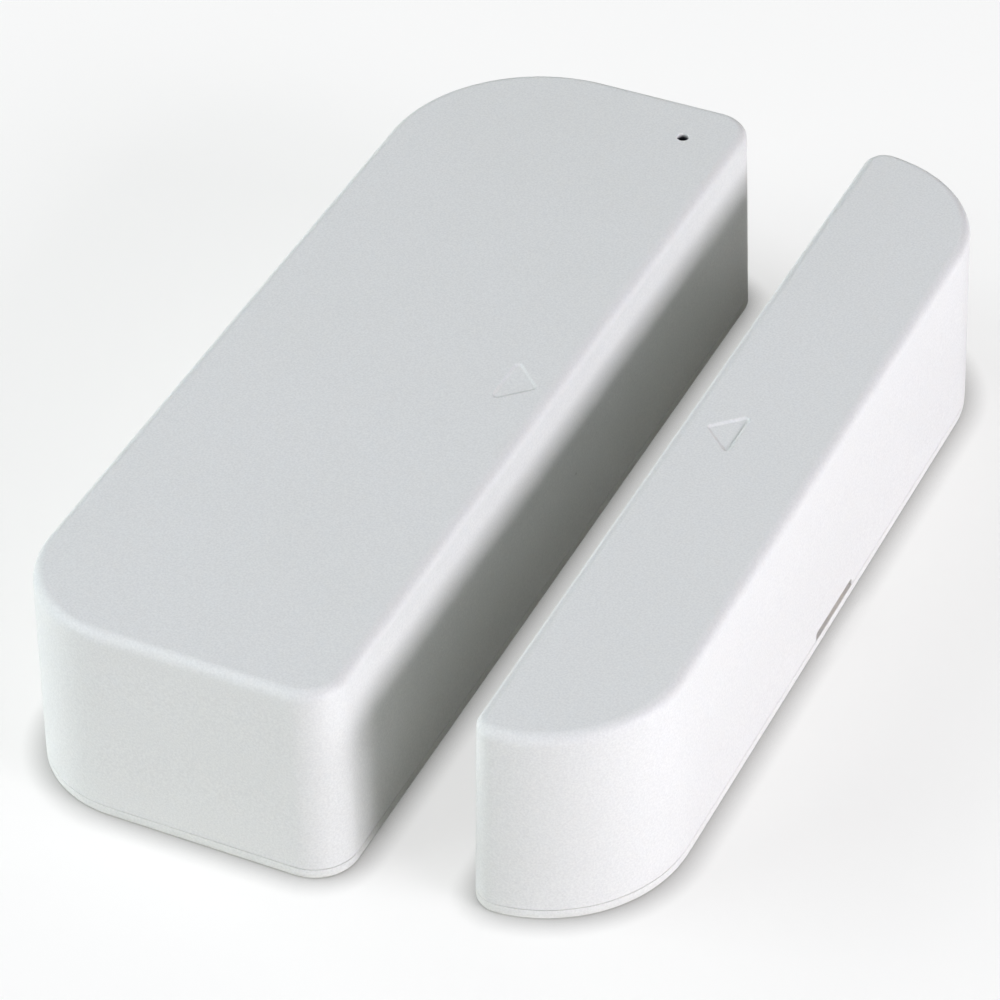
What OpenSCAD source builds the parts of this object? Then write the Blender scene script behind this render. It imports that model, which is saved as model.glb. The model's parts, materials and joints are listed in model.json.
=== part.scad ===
// Two-piece wireless door contact sensor: a transmitter box and the slim magnet unit beside it.
// Frame: origin at the centre of the transmitter's back face, on the mounting plane.
// +X runs across, from the transmitter to the magnet unit; +Y runs along the boxes, from the near
// end to the far end with the indicator pinhole; +Z points out of the mounting plane. Millimetres.

/* [Transmitter] */
// length of the transmitter box
sensor_length = 95; // [94:0.5:98]
// width of the transmitter box at its top
sensor_width = 32.9; // [32.9:0.1:34]
// height above the mounting plane
sensor_height = 21.2; // [21:0.1:23]
// plan radius of the outer corner at the near end
sensor_near_radius = 10.4; // [8:0.2:11]
// plan radius of the outer corner at the far end
sensor_far_radius = 16; // [12:0.5:16]
// plan radius of the two corners that face the magnet unit
sensor_inner_radius = 3.8; // [3:0.2:4]

/* [Magnet unit] */
// length of the magnet unit
magnet_length = 92.6; // [92:0.2:98]
// width of the magnet unit at its top
magnet_width = 14.4; // [14.4:0.1:16]
// height above the mounting plane
magnet_height = 20.8; // [20.6:0.1:22]
// plan radius of the swept outer corners
magnet_outer_radius = 13.2; // [12.4:0.1:13.2]
// gap between the two boxes' tops with the door closed
gap = 11.8; // [3:0.1:15]
// how far the magnet unit sits along the door from the transmitter's centre
magnet_shift = 1.8; // [-5:0.1:5]

/* [Shells] */
// wall thickness of both covers
wall = 1.6; // [1.4:0.1:1.6]
// thickness of both cover tops
top_thickness = 1.6; // [1.2:0.1:1.8]
// rounding of the top edges
edge_radius = 1.1; // [0.8:0.1:1.1]
// outward slope of the side walls towards the back plates, in degrees
draft = 1.3; // [0.5:0.1:1.5]
// height of the visible rim of the back plates
rim_height = 1.05; // [0.8:0.05:1.1]
// width of the pinhole over the indicator
pinhole_width = 1.2; // [0.8:0.1:1.6]

/* [Fixings] */
// radius of the wall-screw holes
screw_hole_radius = 2; // [1.8:0.1:2.2]
// distance between the transmitter's wall-screw holes
sensor_screw_span = 72; // [72:0.5:73]
// distance between the magnet unit's wall-screw holes
magnet_screw_span = 62; // [60:0.5:64]

/* [Magnet] */
// length of the bar magnet
bar_length = 38; // [20:1:40]
// side of the bar magnet's square section
bar_side = 7; // [5:0.5:7]

/* [Hidden] */
$fn = 48;
slack = 0.15;                    // cover to back plate, all round
hair = 0.02;                     // clearance between parts that meet
lift = 0.01;                     // solder stand-off of the parts on the board
bury = 0.2;                      // how far ribs and posts sink into what carries them
// shells
seam = 0.1;                      // visible gap between cover and back plate
cover_z = rim_height + seam;     // lower edge of both covers
deck_z = 2.2;                    // top of the back plates inside the covers
deck_inset = wall + slack;
rib_z = deck_z - bury;
rib_thickness = 0.9;
tray_z = deck_z + 0.05;          // underside of the battery holder and the magnet carrier
sensor_ceiling = sensor_height - top_thickness;
magnet_ceiling = magnet_height - top_thickness;
mark_y = -0.85;                  // triangles, from each unit's centre
mark_depth = 0.2;
sensor_radii = [sensor_near_radius, sensor_inner_radius, sensor_inner_radius, sensor_far_radius];
sensor_screws = [for (s = [-1, 1]) [-3, s * sensor_screw_span / 2]];
// adhesive strips
sensor_tape_size = [22, 24];
sensor_tapes = [[-11, -29], [-11, 5]];
// board
board_z = 6;
board_thickness = 1.2;
board_top = board_z + board_thickness;
part_z = board_top + lift;
board_screws = [[5, -41.4], [11.9, 24.6], [-10.3, 35.4]];
led = [10.8, 41.5];
pipe_skin = 0.8;                 // cover left over the light pipe's pocket
sleeve_z = 14;
tamper = [10.4, -38.6];
tamper_top = 17;                 // top of the pressed plunger
learn = [5.6, -33];
// cells, AAA
cell_radius = 5.25;
cell_length = 43.7;
nub_radius = 1.9;
nub_length = 0.8;
cell_z = 8.5;
cell_left_x = -7.85;
cell_right_x = 2.85;
tray_half = 24.55;               // half the inner length of the tray
sheet = 0.3;                     // contact sheet thickness
contact_z = 4.6;
contact_y = tray_half - hair - sheet;   // inner face of the contact sheets
// the springs stand a hair off the sheets and two off the cells
spring_length = 2 * contact_y - cell_length - nub_length - 4 * hair;
// reed switch
reed_x = 12.1;
reed_z = board_top + 1.7;
reed_bend_y = 9.6;               // where the leads turn down into the board
glass_length = 14;
glass_seal = 1.8;
// magnet unit
magnet_left = sensor_width / 2 + gap;
magnet_right = magnet_left + magnet_width;
magnet_near = magnet_shift - magnet_length / 2;
magnet_mid_x = magnet_left + 6.3;      // screw line and bar magnet's centre line
// the swept corners run into small ones of this radius
magnet_inner_radius = magnet_width - magnet_outer_radius;
magnet_screws = [for (s = [-1, 1]) [magnet_mid_x, magnet_shift + s * magnet_screw_span / 2]];
magnet_tape_size = [10, 23];
magnet_tapes = [for (y = [-25, 2]) [magnet_left + 2.4, magnet_shift + y]];
bar_z = 5.3;
bar_top = bar_z + bar_side;
// colours shared by several pieces
base_color = [0.88, 0.88, 0.88];
tape_color = [0.75, 0.75, 0.72];
cell_color = [0.25, 0.35, 0.6];
contact_color = [0.8, 0.78, 0.7];
spring_color = [0.8, 0.8, 0.82];
switch_color = [0.12, 0.12, 0.13];

// ---- placing ----

// children at a plan position, at height z
module at(place, z) translate([place.x, place.y, z]) children();
// children's +Z axis laid along +Y (way = 1) or -Y (way = -1)
module along_y(place, way) translate(place) rotate([-90 * way, 0, 0]) children();

// ---- transmitter shell ----

// In both shells, edge rounds the top edge, flare slopes the sides outwards at the foot, and
// strip is the width of the straight side pieces.
function strip_width(edge, flare) = edge > 0 ? edge : flare > 0 ? 1 : 0;
// how far a side stands out from its top outline at height z
function spread(height, z) = round(1000 * (height - edge_radius - z) * tan(draft)) / 1000;

// quarter disc between 0 and 90 degrees
module quarter(radius) {
  intersection() {
    circle(radius);
    square([radius + 1, radius + 1]);
  }
}

// quarter-turn box corner
module corner(radius, height, edge, flare) {
  shoulder = height - edge;
  rotate_extrude(angle = 90) {
    polygon([[0, 0], [radius + flare, 0], [radius, shoulder], [0, shoulder]]);
    if (edge > 0) {
      translate([0, shoulder]) square([radius - edge, edge]);
      translate([radius - edge, shoulder]) quarter(edge);
    }
  }
}

// section of a box side, outer face on x = 0 at the top
module side_profile(height, edge, flare, strip) {
  shoulder = height - edge;
  polygon([[-flare, 0], [strip, 0], [strip, shoulder], [0, shoulder]]);
  if (edge > 0) translate([edge, shoulder]) mirror([1, 0]) quarter(edge);
}

// box from the origin, radii = [near left, near right, far right, far left], left being -X
module four_radius_box(width, length, height, radii, edge, flare) {
  near_left = radii[0];
  near_right = radii[1];
  far_right = radii[2];
  far_left = radii[3];
  strip = strip_width(edge, flare);
  centres = [[near_left, near_left], [width - near_right, near_right],
             [width - far_right, length - far_right], [far_left, length - far_left]];
  for (i = [0 : 3])
    translate(centres[i]) rotate([0, 0, 180 + 90 * i]) corner(radii[i], height, edge, flare);
  linear_extrude(height) polygon([
    [near_left, strip], [width - near_right, strip], centres[1],
    [width - strip, near_right], [width - strip, length - far_right], centres[2],
    [width - far_right, length - strip], [far_left, length - strip], centres[3],
    [strip, length - far_left], [strip, near_left], centres[0]]);
  // sides: left, near, right, far
  starts = [[0, length - far_left], [near_left, 0], [width, near_right],
            [width - far_right, length]];
  runs = [length - far_left - near_left, width - near_left - near_right,
          length - near_right - far_right, width - far_right - far_left];
  if (strip > 0) for (i = [0 : 3])
    translate(starts[i]) rotate([90, 0, 90 * i]) linear_extrude(runs[i])
      side_profile(height, edge, flare, strip);
}

// transmitter outline drawn in by inset
module sensor_box(inset, height, edge = 0, flare = 0) {
  translate([inset - sensor_width / 2, inset - sensor_length / 2, 0])
    four_radius_box(sensor_width - 2 * inset, sensor_length - 2 * inset, height,
                    [for (r = sensor_radii) r - inset], edge, flare);
}

// ---- magnet unit shell ----

// the magnet unit's top edge is a run of narrow bevels that follow the rounding
function bevel(edge) = [for (a = [0 : 18 : 90]) [edge * cos(a), edge * sin(a)]];

// quarter-turn corner
module swept_corner(radius, height, edge, flare) {
  crest = edge > 0
    ? [for (q = bevel(edge)) [radius - edge + q.x, height - edge + q.y]]
    : [[radius, height]];
  rotate_extrude(angle = 90)
    polygon(concat([[0, 0], [radius + flare, 0]], crest, [[0, height]]));
}

// straight side, outer face on x = 0 at the top
module straight_side(run, height, edge, flare, strip) {
  crest = edge > 0
    ? [for (q = bevel(edge)) [edge - q.x, height - edge + q.y]]
    : [[0, height], [strip, height]];
  linear_extrude(run) polygon(concat([[strip, 0], [-flare, 0]], crest));
}

// near end: a wide arc from the +X side runs into a small arc at the -X side
module magnet_end(inset, height, edge, flare) {
  small = magnet_inner_radius;
  translate([small, magnet_outer_radius, 0]) rotate([0, 0, 270])
    swept_corner(magnet_outer_radius - inset, height, edge, flare);
  if (small > inset) translate([small, small, 0]) rotate([0, 0, 180])
    swept_corner(small - inset, height, edge, flare);
}

module magnet_block(inset, height, edge, flare) {
  small = magnet_inner_radius;
  wide = magnet_outer_radius;
  length = magnet_length;
  strip = strip_width(edge, flare);
  left = inset + strip;
  right = magnet_width - inset - strip;
  magnet_end(inset, height, edge, flare);
  translate([0, length, 0]) mirror([0, 1, 0]) magnet_end(inset, height, edge, flare);
  linear_extrude(height) polygon(small > inset
    ? [[left, small], [small, small], [small, wide], [right, wide], [right, length - wide],
       [small, length - wide], [small, length - small], [left, length - small]]
    : [[small, wide], [magnet_width - inset, wide], [magnet_width - inset, length - wide],
       [small, length - wide]]);
  if (strip > 0) {
    translate([inset, length - small, 0]) rotate([90, 0, 0])
      straight_side(length - 2 * small, height, edge, flare, strip);
    translate([magnet_width - inset, wide, 0]) rotate([90, 0, 180])
      straight_side(length - 2 * wide, height, edge, flare, strip);
  }
}

// magnet unit outline drawn in by inset
module magnet_box(inset, height, edge = 0, flare = 0) translate([magnet_left, magnet_near, 0]) {
  // an inset past the small arcs leaves a plain side on -X
  if (inset > magnet_inner_radius) intersection() {
    magnet_block(inset, height, edge, flare);
    translate([inset, 0, -1]) cube([magnet_width, magnet_length, height + 2]);
  }
  else magnet_block(inset, height, edge, flare);
}

// ---- shared details ----

// triangle with rounded corners, apex towards +X
module mark(length, half_width, radius = 0.3) {
  half_angle = atan2(half_width, length);
  side = half_width - radius / tan(45 - half_angle / 2);
  tip = length - radius / sin(half_angle);
  function turn(centre, from, to) =
    [for (i = [0 : 6]) let (a = from + (to - from) * i / 6) centre + radius * [cos(a), sin(a)]];
  polygon(concat(turn([radius, -side], 180, 270 + half_angle),
                 turn([tip, 0], half_angle - 90, 90 - half_angle),
                 turn([radius, side], 90 - half_angle, 180)));
}

// cut through a cover's lower edge, wall's lower-x face at x
module pry_cut(x, y) translate([x - 1, y, cover_z - 1]) cube([wall + 2, 8.8, 1.85]);
module screw_bosses(places, radius) for (p = places) at(p, 0) cylinder(h = 3.2, r = radius);
module screw_holes(places) for (p = places) at(p, -1) cylinder(h = 6, r = screw_hole_radius);
module tape_recess(place, size) at(place, -1) cube([size.x, size.y, 1.6]);
module tape(place, size) at(place + [0.05, 0.05], 0) cube([size.x - 0.1, size.y - 0.1, 0.55]);

// closed rings joined by a straight wire, axis along +Z
module coil(rings, radius, length, wire) {
  step = (length - 2 * wire) / (rings - 1);
  for (i = [0 : rings - 1]) translate([0, 0, wire + i * step])
    rotate_extrude() translate([radius, 0]) circle(wire, $fn = 16);
}
module coil_wire(radius, length) translate([radius, 0, 0]) cylinder(h = length, r = 0.28, $fn = 16);

// ---- transmitter ----

module sensor_cover() color([0.9, 0.9, 0.9]) {
  pocket_z = sensor_height - 3;
  post_z = tamper_top + 0.05;
  difference() {
    translate([0, 0, cover_z])
      sensor_box(0, sensor_height - cover_z, edge_radius, spread(sensor_height, cover_z));
    sensor_box(wall, sensor_ceiling);
    // pinhole, with a pocket for the light pipe below the skin
    at(led, pocket_z) cylinder(h = 4, r = pinhole_width / 2, $fn = 24);
    at(led, pocket_z) cylinder(h = 3 - pipe_skin, r = 1.5, $fn = 24);
    // shallow triangle that lines up with the reed switch
    translate([sensor_width / 2 - 5.2, mark_y, sensor_height - mark_depth])
      linear_extrude(1) mark(3.2, 3.05);
    // pry notch in the outer side's lower edge
    pry_cut(-sensor_width / 2, -4.4);
  }
  // light pipe sleeve
  at(led, sleeve_z) difference() {
    cylinder(h = sensor_ceiling - sleeve_z + bury, r = 2.3, $fn = 32);
    translate([0, 0, -1]) cylinder(h = 8, r = 1.5, $fn = 24);
  }
  // post that holds the tamper plunger down
  at(tamper, post_z) cylinder(h = sensor_ceiling - post_z + bury, r = 2, $fn = 32);
  // ribs over the cells
  for (y = [-13, 13])
    translate([-12.5, y - 0.6, 14]) cube([19.5, 1.2, sensor_ceiling - 14 + bury]);
}

module sensor_base() color(base_color) {
  deck_x = sensor_width / 2 - deck_inset;
  deck_y = sensor_length / 2 - deck_inset;
  rim_spread = spread(sensor_height, rim_height);
  support_height = board_z - hair - rib_z;
  difference() {
    union() {
      sensor_box(-rim_spread, rim_height, 0, spread(sensor_height, 0) - rim_spread);
      sensor_box(deck_inset, deck_z);
      screw_bosses(sensor_screws, 4);
    }
    screw_holes(sensor_screws);
    for (p = sensor_tapes) tape_recess(p, sensor_tape_size);
  }
  // guide ribs inside the cover
  for (y = [-36, 26.6]) translate([-deck_x, y, rib_z]) cube([rib_thickness, 5.6, 5]);
  for (y = [-27, 15])
    translate([deck_x - rib_thickness, y, rib_z]) cube([rib_thickness, 12, 3]);
  for (x = [-4, 6]) translate([x, -deck_y, rib_z]) cube([5, rib_thickness, 3]);
  translate([0.5, deck_y - rib_thickness, rib_z]) cube([10, rib_thickness, 3]);
  // posts for the board's screws
  for (p = board_screws) at(p, rib_z) difference() {
    cylinder(h = support_height, r = 2.2);
    translate([0, 0, -1]) cylinder(h = support_height + 2, r = 0.85);
  }
  // rests under the long leg of the board
  for (y = [-22, 4]) at([11.6, y], rib_z) cylinder(h = support_height, r = 1.2, $fn = 24);
}

module sensor_tape_near() color(tape_color) tape(sensor_tapes[0], sensor_tape_size);
module sensor_tape_far() color(tape_color) tape(sensor_tapes[1], sensor_tape_size);

// ---- battery ----

module battery_holder() color([0.13, 0.13, 0.14]) difference() {
  end_wall = 1.2;
  pocket_y = 19;
  translate([-14.1, -tray_half - end_wall, tray_z])
    cube([23.1, 2 * (tray_half + end_wall), 8.9]);
  // bays with round floors
  for (x = [cell_left_x, cell_right_x])
    along_y([x, tray_half, cell_z], -1) cylinder(h = 2 * tray_half, r = cell_radius + 0.1);
  translate([-13.2, -tray_half, cell_z]) cube([21.4, 2 * tray_half, 10]);
  // finger opening and lowered sides
  translate([-20, -16, 7]) cube([40, 32, 10]);
  // end pockets for the contacts and springs
  for (y = [-tray_half, pocket_y])
    translate([-12.6, y, 4.3]) cube([20.2, tray_half - pocket_y, 12]);
}

// cell with its nub towards way, a hair off the contact sheet
module cell(x, way) {
  along_y([x, way * (contact_y - hair - cell_length - nub_length), cell_z], way) {
    cylinder(h = cell_length, r = cell_radius);
    translate([0, 0, cell_length - 0.01]) cylinder(h = nub_length + 0.01, r = nub_radius, $fn = 32);
  }
}
module battery_left() color(cell_color) cell(cell_left_x, 1);
module battery_right() color(cell_color) cell(cell_right_x, -1);

// one sheet across both cells at the near end
module bridge_contact() color(contact_color)
  translate([-12, -tray_half + hair, contact_z]) cube([19, sheet, 6.8]);

// sheet at the far end, with a tab that reaches over the tray wall and down to the board
module terminal(x) {
  top = 11.9;
  reach = 5.6;
  tab_width = 2.4;
  tab_x = x - tab_width / 2;
  leg_y = contact_y + reach - sheet;
  foot_z = board_top + hair;
  translate([x - 3.6, contact_y, contact_z]) cube([7.2, sheet, top - contact_z]);
  translate([tab_x, contact_y, top - sheet]) cube([tab_width, reach, sheet]);
  translate([tab_x, leg_y, foot_z]) cube([tab_width, sheet, top - foot_z]);
  translate([tab_x, leg_y, foot_z]) cube([tab_width, 1.6, sheet]);
}
module positive_contact() color(contact_color) terminal(cell_left_x);
module negative_contact() color(contact_color) terminal(cell_right_x);

module cell_spring(x, way) along_y([x, way * (hair - contact_y), cell_z], way) {
  wire = 0.3;
  coil(4, 3, spring_length, wire);
  translate([0, 0, wire]) coil_wire(3, spring_length - 2 * wire);
}
module battery_spring_left() color(spring_color) cell_spring(cell_left_x, 1);
module battery_spring_right() color(spring_color) cell_spring(cell_right_x, -1);

// ---- board ----

module circuit_board() color([0.08, 0.35, 0.16]) difference() {
  // outline, x and y
  translate([0, 0, board_z]) linear_extrude(board_thickness) polygon([
    [2.6, -44.2], [14.4, -44.2], [14.4, 45], [-3, 45.2], [-9, 42.4], [-12.9, 36.5],
    [-13.2, 28.8], [9.4, 28.8], [9.4, -29.6], [2.6, -29.6]]);
  // clearance around the far wall screw
  at(sensor_screws[1], 0) cylinder(h = 20, r = 4.6);
  for (p = board_screws) at(p, 0) cylinder(h = 20, r = 1.15, $fn = 24);
  for (s = [-1, 1]) at([reed_x, s * reed_bend_y], 0) cylinder(h = 20, r = 0.4, $fn = 16);
}

// cross-head screws
module pcb_screws() color([0.7, 0.7, 0.72]) for (p = board_screws) at(p, 0) difference() {
  union() {
    translate([0, 0, 3]) cylinder(h = board_top - 2.9, r = 0.8, $fn = 24);
    translate([0, 0, board_top + hair]) cylinder(h = 1.3, r = 1.8, $fn = 32);
  }
  for (a = [0, 90])
    translate([0, 0, board_top + 1.2]) rotate([0, 0, a]) cube([2.2, 0.5, 1.2], center = true);
}

// reed switch: glass with sealed ends, a fixed blade from the near end and a springy one from
// the far end
module reed_glass() color([0.75, 0.9, 0.8, 0.5])
  along_y([reed_x, -glass_length / 2, reed_z], 1) difference() {
    cylinder(h = glass_length, r = 1.25, $fn = 32);
    translate([0, 0, glass_seal])
      cylinder(h = glass_length - 2 * glass_seal, r = 0.95, $fn = 32);
    translate([0, 0, -1]) cylinder(h = glass_length + 2, r = 0.3, $fn = 24);
  }

// bent lead at one end (-1 near, 1 far), running inward from its bend
module reed_wire(end, inward) {
  wire = 0.25;
  foot_z = 5.4;
  bend = [reed_x, end * reed_bend_y];
  along_y([bend.x, bend.y, reed_z], -end) cylinder(h = inward, r = wire, $fn = 16);
  at(bend, foot_z) cylinder(h = reed_z - foot_z, r = wire, $fn = 16);
  at(bend, reed_z) sphere(wire, $fn = 16);
}
module reed_flat(y, z, length) translate([reed_x - 0.55, y, z]) cube([1.1, length, 0.2]);

module reed_lead_near() color([0.75, 0.7, 0.6]) {
  reed_wire(-1, 4.6);
  reed_flat(-5.15, reed_z - 0.21, 5.95);
}
module reed_lead_far() color([0.75, 0.7, 0.6]) reed_wire(1, 4.3);
module reed_blade() color([0.78, 0.72, 0.6]) reed_flat(-0.8, reed_z + 0.01, 5.9);

module status_led() color([0.95, 0.95, 0.85]) at(led, part_z) {
  translate([-1.6, -1.25, 0]) cube([3.2, 2.5, 0.8]);
  translate([0, 0, 0.79]) cylinder(h = 0.5, r = 0.95, $fn = 24);
}
module light_pipe() color([0.9, 0.95, 1, 0.5])
  at(led, 9) cylinder(h = sensor_height - pipe_skin - 0.05 - 9, r = 1.45, $fn = 24);

// package with a row of pins along its near and far sides
module microcontroller() color([0.1, 0.1, 0.11]) at([2.3, 39.2], part_z) {
  cube([5, 5, 0.9]);
  for (i = [0 : 5]) for (y = [-0.25, 4.85])
    translate([0.45 + i * 0.75, y, 0.01]) cube([0.35, 0.4, 0.2]);
}

// open-bottomed can with three holes in its top
module radio_shield() color([0.75, 0.76, 0.78]) at([5.4, 29.6], part_z) difference() {
  skin = 0.25;
  cube([8, 7.4, 2.2]);
  translate([skin, skin, -1]) cube([8 - 2 * skin, 7.4 - 2 * skin, 2.95]);
  for (i = [0 : 2]) translate([2 + 2 * i, 3.7, 1]) cylinder(h = 3, r = 0.4, $fn = 16);
}
module crystal() color([0.8, 0.8, 0.78]) at([-4.6, 41.4], part_z) cube([4.8, 2.8, 1.2]);
module antenna_coil() color([0.85, 0.6, 0.25]) at([-7.6, 40.2], board_top + hair) {
  translate([0, 0, 0.9]) coil(8, 1.7, 9.5, 0.3);
  coil_wire(1.7, 10);
}
module capacitor() color([0.15, 0.15, 0.2]) at([11.6, -31.4], part_z) {
  translate([-2.1, -2.1, 0]) cube([4.2, 4.2, 0.6]);
  translate([0, 0, 0.59]) cylinder(h = 4.8, r = 2, $fn = 32);
}
module chip_resistors() color([0.1, 0.1, 0.1]) {
  // centres, x and y
  places = [[10.4, -24.5], [10.4, -20.5], [12.8, -17], [10.4, -13.6], [10.4, 12.4],
            [12.8, 14.6], [10.4, 17], [8, 38.2], [12.6, 38.4], [-4.6, 30.4]];
  for (p = places) at(p - [0.4, 0.8], part_z) cube([0.8, 1.6, 0.45]);
}

module tamper_switch_body() color(switch_color) at(tamper, part_z) difference() {
  translate([-3, -3, 0]) cube([6, 6, 3.5]);
  // plunger bore, wider below for the collar
  translate([0, 0, 0.8]) cylinder(h = 4, r = 1.65, $fn = 32);
  translate([0, 0, 0.8]) cylinder(h = 2, r = 2.2, $fn = 32);
}
module tamper_plunger() color([0.15, 0.15, 0.16]) at(tamper, board_top + 1.1) {
  cylinder(h = tamper_top - board_top - 1.1, r = 1.6, $fn = 32);
  cylinder(h = 0.9, r = 2.1, $fn = 32);
}
module learn_button_body() color(switch_color) at(learn, part_z) difference() {
  side = 4.6;
  translate([-side / 2, -side / 2, 0]) cube([side, side, 2]);
  translate([0, 0, 0.4]) cylinder(h = 3, r = 1.25, $fn = 32);
}
module learn_button_cap() color([0.85, 0.85, 0.8])
  at(learn, board_top + 0.8) cylinder(h = 2.8, r = 1.2, $fn = 32);

// ---- magnet unit ----

module magnet_cover() color([0.92, 0.92, 0.92]) {
  pad_rib_z = bar_top + 1.4;
  difference() {
    translate([0, 0, cover_z])
      magnet_box(0, magnet_height - cover_z, edge_radius, spread(magnet_height, cover_z));
    magnet_box(wall, magnet_ceiling);
    // shallow triangle that points back at the transmitter
    translate([magnet_left + 5.65, magnet_shift + mark_y, magnet_height - mark_depth])
      linear_extrude(1) mirror([1, 0]) mark(3.1, 2.9);
    // pry slot in the outer side's lower edge
    pry_cut(magnet_right - wall, magnet_shift - 3.4);
  }
  // ribs over the foam pad
  for (y = [-11, 11]) translate([magnet_mid_x - 3.5, magnet_shift + y - 0.6, pad_rib_z])
    cube([7, 1.2, magnet_ceiling - pad_rib_z + bury]);
}

module magnet_base() color(base_color) {
  rib_x = magnet_right - deck_inset - rib_thickness;
  rim_spread = spread(magnet_height, rim_height);
  difference() {
    union() {
      magnet_box(-rim_spread, rim_height, 0, spread(magnet_height, 0) - rim_spread);
      magnet_box(deck_inset, deck_z);
      screw_bosses(magnet_screws, 3.9);
    }
    screw_holes(magnet_screws);
    for (p = magnet_tapes) tape_recess(p, magnet_tape_size);
  }
  // guide ribs inside the cover
  for (y = [-18, 9]) translate([rib_x, magnet_shift + y, rib_z]) cube([rib_thickness, 10, 3]);
  // stub that blocks the pry slot's inner side
  translate([rib_x, magnet_shift - 3.9, rib_z]) cube([rib_thickness, 9.8, 1.6]);
}
module magnet_tape() color(tape_color) for (p = magnet_tapes) tape(p, magnet_tape_size);

module magnet_carrier() color([0.82, 0.82, 0.8])
  translate([magnet_mid_x, magnet_shift, tray_z]) difference() {
    translate([-bar_side / 2 - 0.8, -bar_length / 2 - 1.2, 0])
      cube([bar_side + 1.6, bar_length + 2.4, 6.6]);
    translate([-bar_side / 2 - 0.05, -bar_length / 2 - 0.05, bar_z - hair - tray_z])
      cube([bar_side + 0.1, bar_length + 0.1, 10]);
    // lightening windows under the bar
    for (y = [-14, -4.5, 5]) translate([-2.4, y, -1]) cube([4.8, 8.6, 9]);
    // lowered sides
    translate([-20, -12, 4.6]) cube([40, 24, 10]);
  }
module bar_magnet() color([0.3, 0.3, 0.32])
  translate([magnet_mid_x - bar_side / 2, magnet_shift - bar_length / 2, bar_z])
    cube([bar_side, bar_length, bar_side]);
module magnet_foam_pad() color([0.2, 0.2, 0.2])
  translate([magnet_mid_x - bar_side / 2 + 0.5, magnet_shift - 15, bar_top + hair])
    cube([bar_side - 1, 30, 1.3]);

sensor_cover();
sensor_base();
sensor_tape_near();
sensor_tape_far();
battery_holder();
battery_left();
battery_right();
bridge_contact();
positive_contact();
negative_contact();
battery_spring_left();
battery_spring_right();
circuit_board();
pcb_screws();
reed_glass();
reed_lead_near();
reed_lead_far();
reed_blade();
status_led();
light_pipe();
microcontroller();
radio_shield();
crystal();
antenna_coil();
capacitor();
chip_resistors();
tamper_switch_body();
tamper_plunger();
learn_button_body();
learn_button_cap();
magnet_cover();
magnet_base();
magnet_tape();
magnet_carrier();
bar_magnet();
magnet_foam_pad();
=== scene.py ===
# A two-part contact sensor lying on its back plates. The wide transmitter is centred on the
# origin and the slim magnet unit lies to its right (+x). Both run along y, the covers face +z
# and the back plates rest on z = 0. "Near" is -y, "far" is +y, "left" is -x.
# Sizes are millimetres and become metres where a mesh is made.

import json
import math

import bmesh
import bpy
from mathutils import Matrix, Vector


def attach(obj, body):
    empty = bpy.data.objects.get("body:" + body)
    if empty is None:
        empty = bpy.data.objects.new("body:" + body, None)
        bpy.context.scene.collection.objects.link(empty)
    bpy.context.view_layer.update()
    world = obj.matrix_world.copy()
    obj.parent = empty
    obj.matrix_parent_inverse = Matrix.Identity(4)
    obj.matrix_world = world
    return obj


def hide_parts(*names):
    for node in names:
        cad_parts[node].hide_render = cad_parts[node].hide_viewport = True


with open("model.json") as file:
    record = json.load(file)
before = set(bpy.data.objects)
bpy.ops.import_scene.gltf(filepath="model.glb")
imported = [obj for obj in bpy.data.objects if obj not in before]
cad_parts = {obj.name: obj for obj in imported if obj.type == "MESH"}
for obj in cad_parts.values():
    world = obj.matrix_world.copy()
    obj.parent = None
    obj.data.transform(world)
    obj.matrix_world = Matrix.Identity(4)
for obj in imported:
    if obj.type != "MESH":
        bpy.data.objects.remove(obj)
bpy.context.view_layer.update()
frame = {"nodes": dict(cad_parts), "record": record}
MM = 0.001                    # one millimetre in metres

# ------------------------------------------------------------------ driving sizes, mm
SENSOR_WIDE, SENSOR_LONG, SENSOR_TALL = 32.9, 95.0, 21.2
MAGNET_WIDE, MAGNET_LONG, MAGNET_TALL = 14.4, 92.6, 20.8
GAP = 11.8                    # between the two units
MAGNET_Y = 1.8                # middle of the magnet unit
MAGNET_LEFT = SENSOR_WIDE / 2 + GAP
MAGNET_RIGHT = MAGNET_LEFT + MAGNET_WIDE
MAGNET_NEAR = MAGNET_Y - MAGNET_LONG / 2

EDGE = 1.1                    # rounding round the top of a cover
DRAFT = math.tan(math.radians(1.3))
WALL, CEILING = 1.6, 1.6      # thickness of a cover's sides and top
RIM = 1.05                    # height of the back plate's visible edge
SEAM = 0.10                   # gap between plate and cover
SEAM_TOP = RIM + SEAM
DECK = 2.2                    # upper face of the back plates
SLACK = 0.15                  # between a plate's raised part and the cover's wall

# the sensor's upright corners: near left, near right, far right, far left
SENSOR_RADII, SENSOR_STEPS = (10.4, 3.8, 3.8, 16.0), (24, 16, 16, 32)
# the magnet unit's ends: a wide sweep from the right side into a small corner on the left
SWEEP, SMALL = 13.2, 2.2
SWEEP_X = MAGNET_WIDE - SWEEP
SMALL_Y = SWEEP - math.sqrt((SWEEP - SMALL) ** 2 - (SMALL - SWEEP_X) ** 2)
MEET = math.degrees(math.atan2(SWEEP - SMALL_Y, SMALL - SWEEP_X))   # where the arcs touch

BOARD_UNDER, BOARD_TOP = 6.0, 7.2
COPPER_FOOT = BOARD_TOP - 0.012       # printed layers start just inside the board
SCREWS = ((5, -41.4), (11.9, 24.6), (-10.3, 35.4))
LIGHT = (10.8, 41.5)
TAMPER = (10.4, -38.6)
LEARN = (5.6, -33.0)
CAPACITOR = (11.6, -31.4)
ANTENNA = (-7.6, 40.2)
CRYSTAL = (-2.2, 42.8)
SHIELD = (9.4, 33.3)

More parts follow.
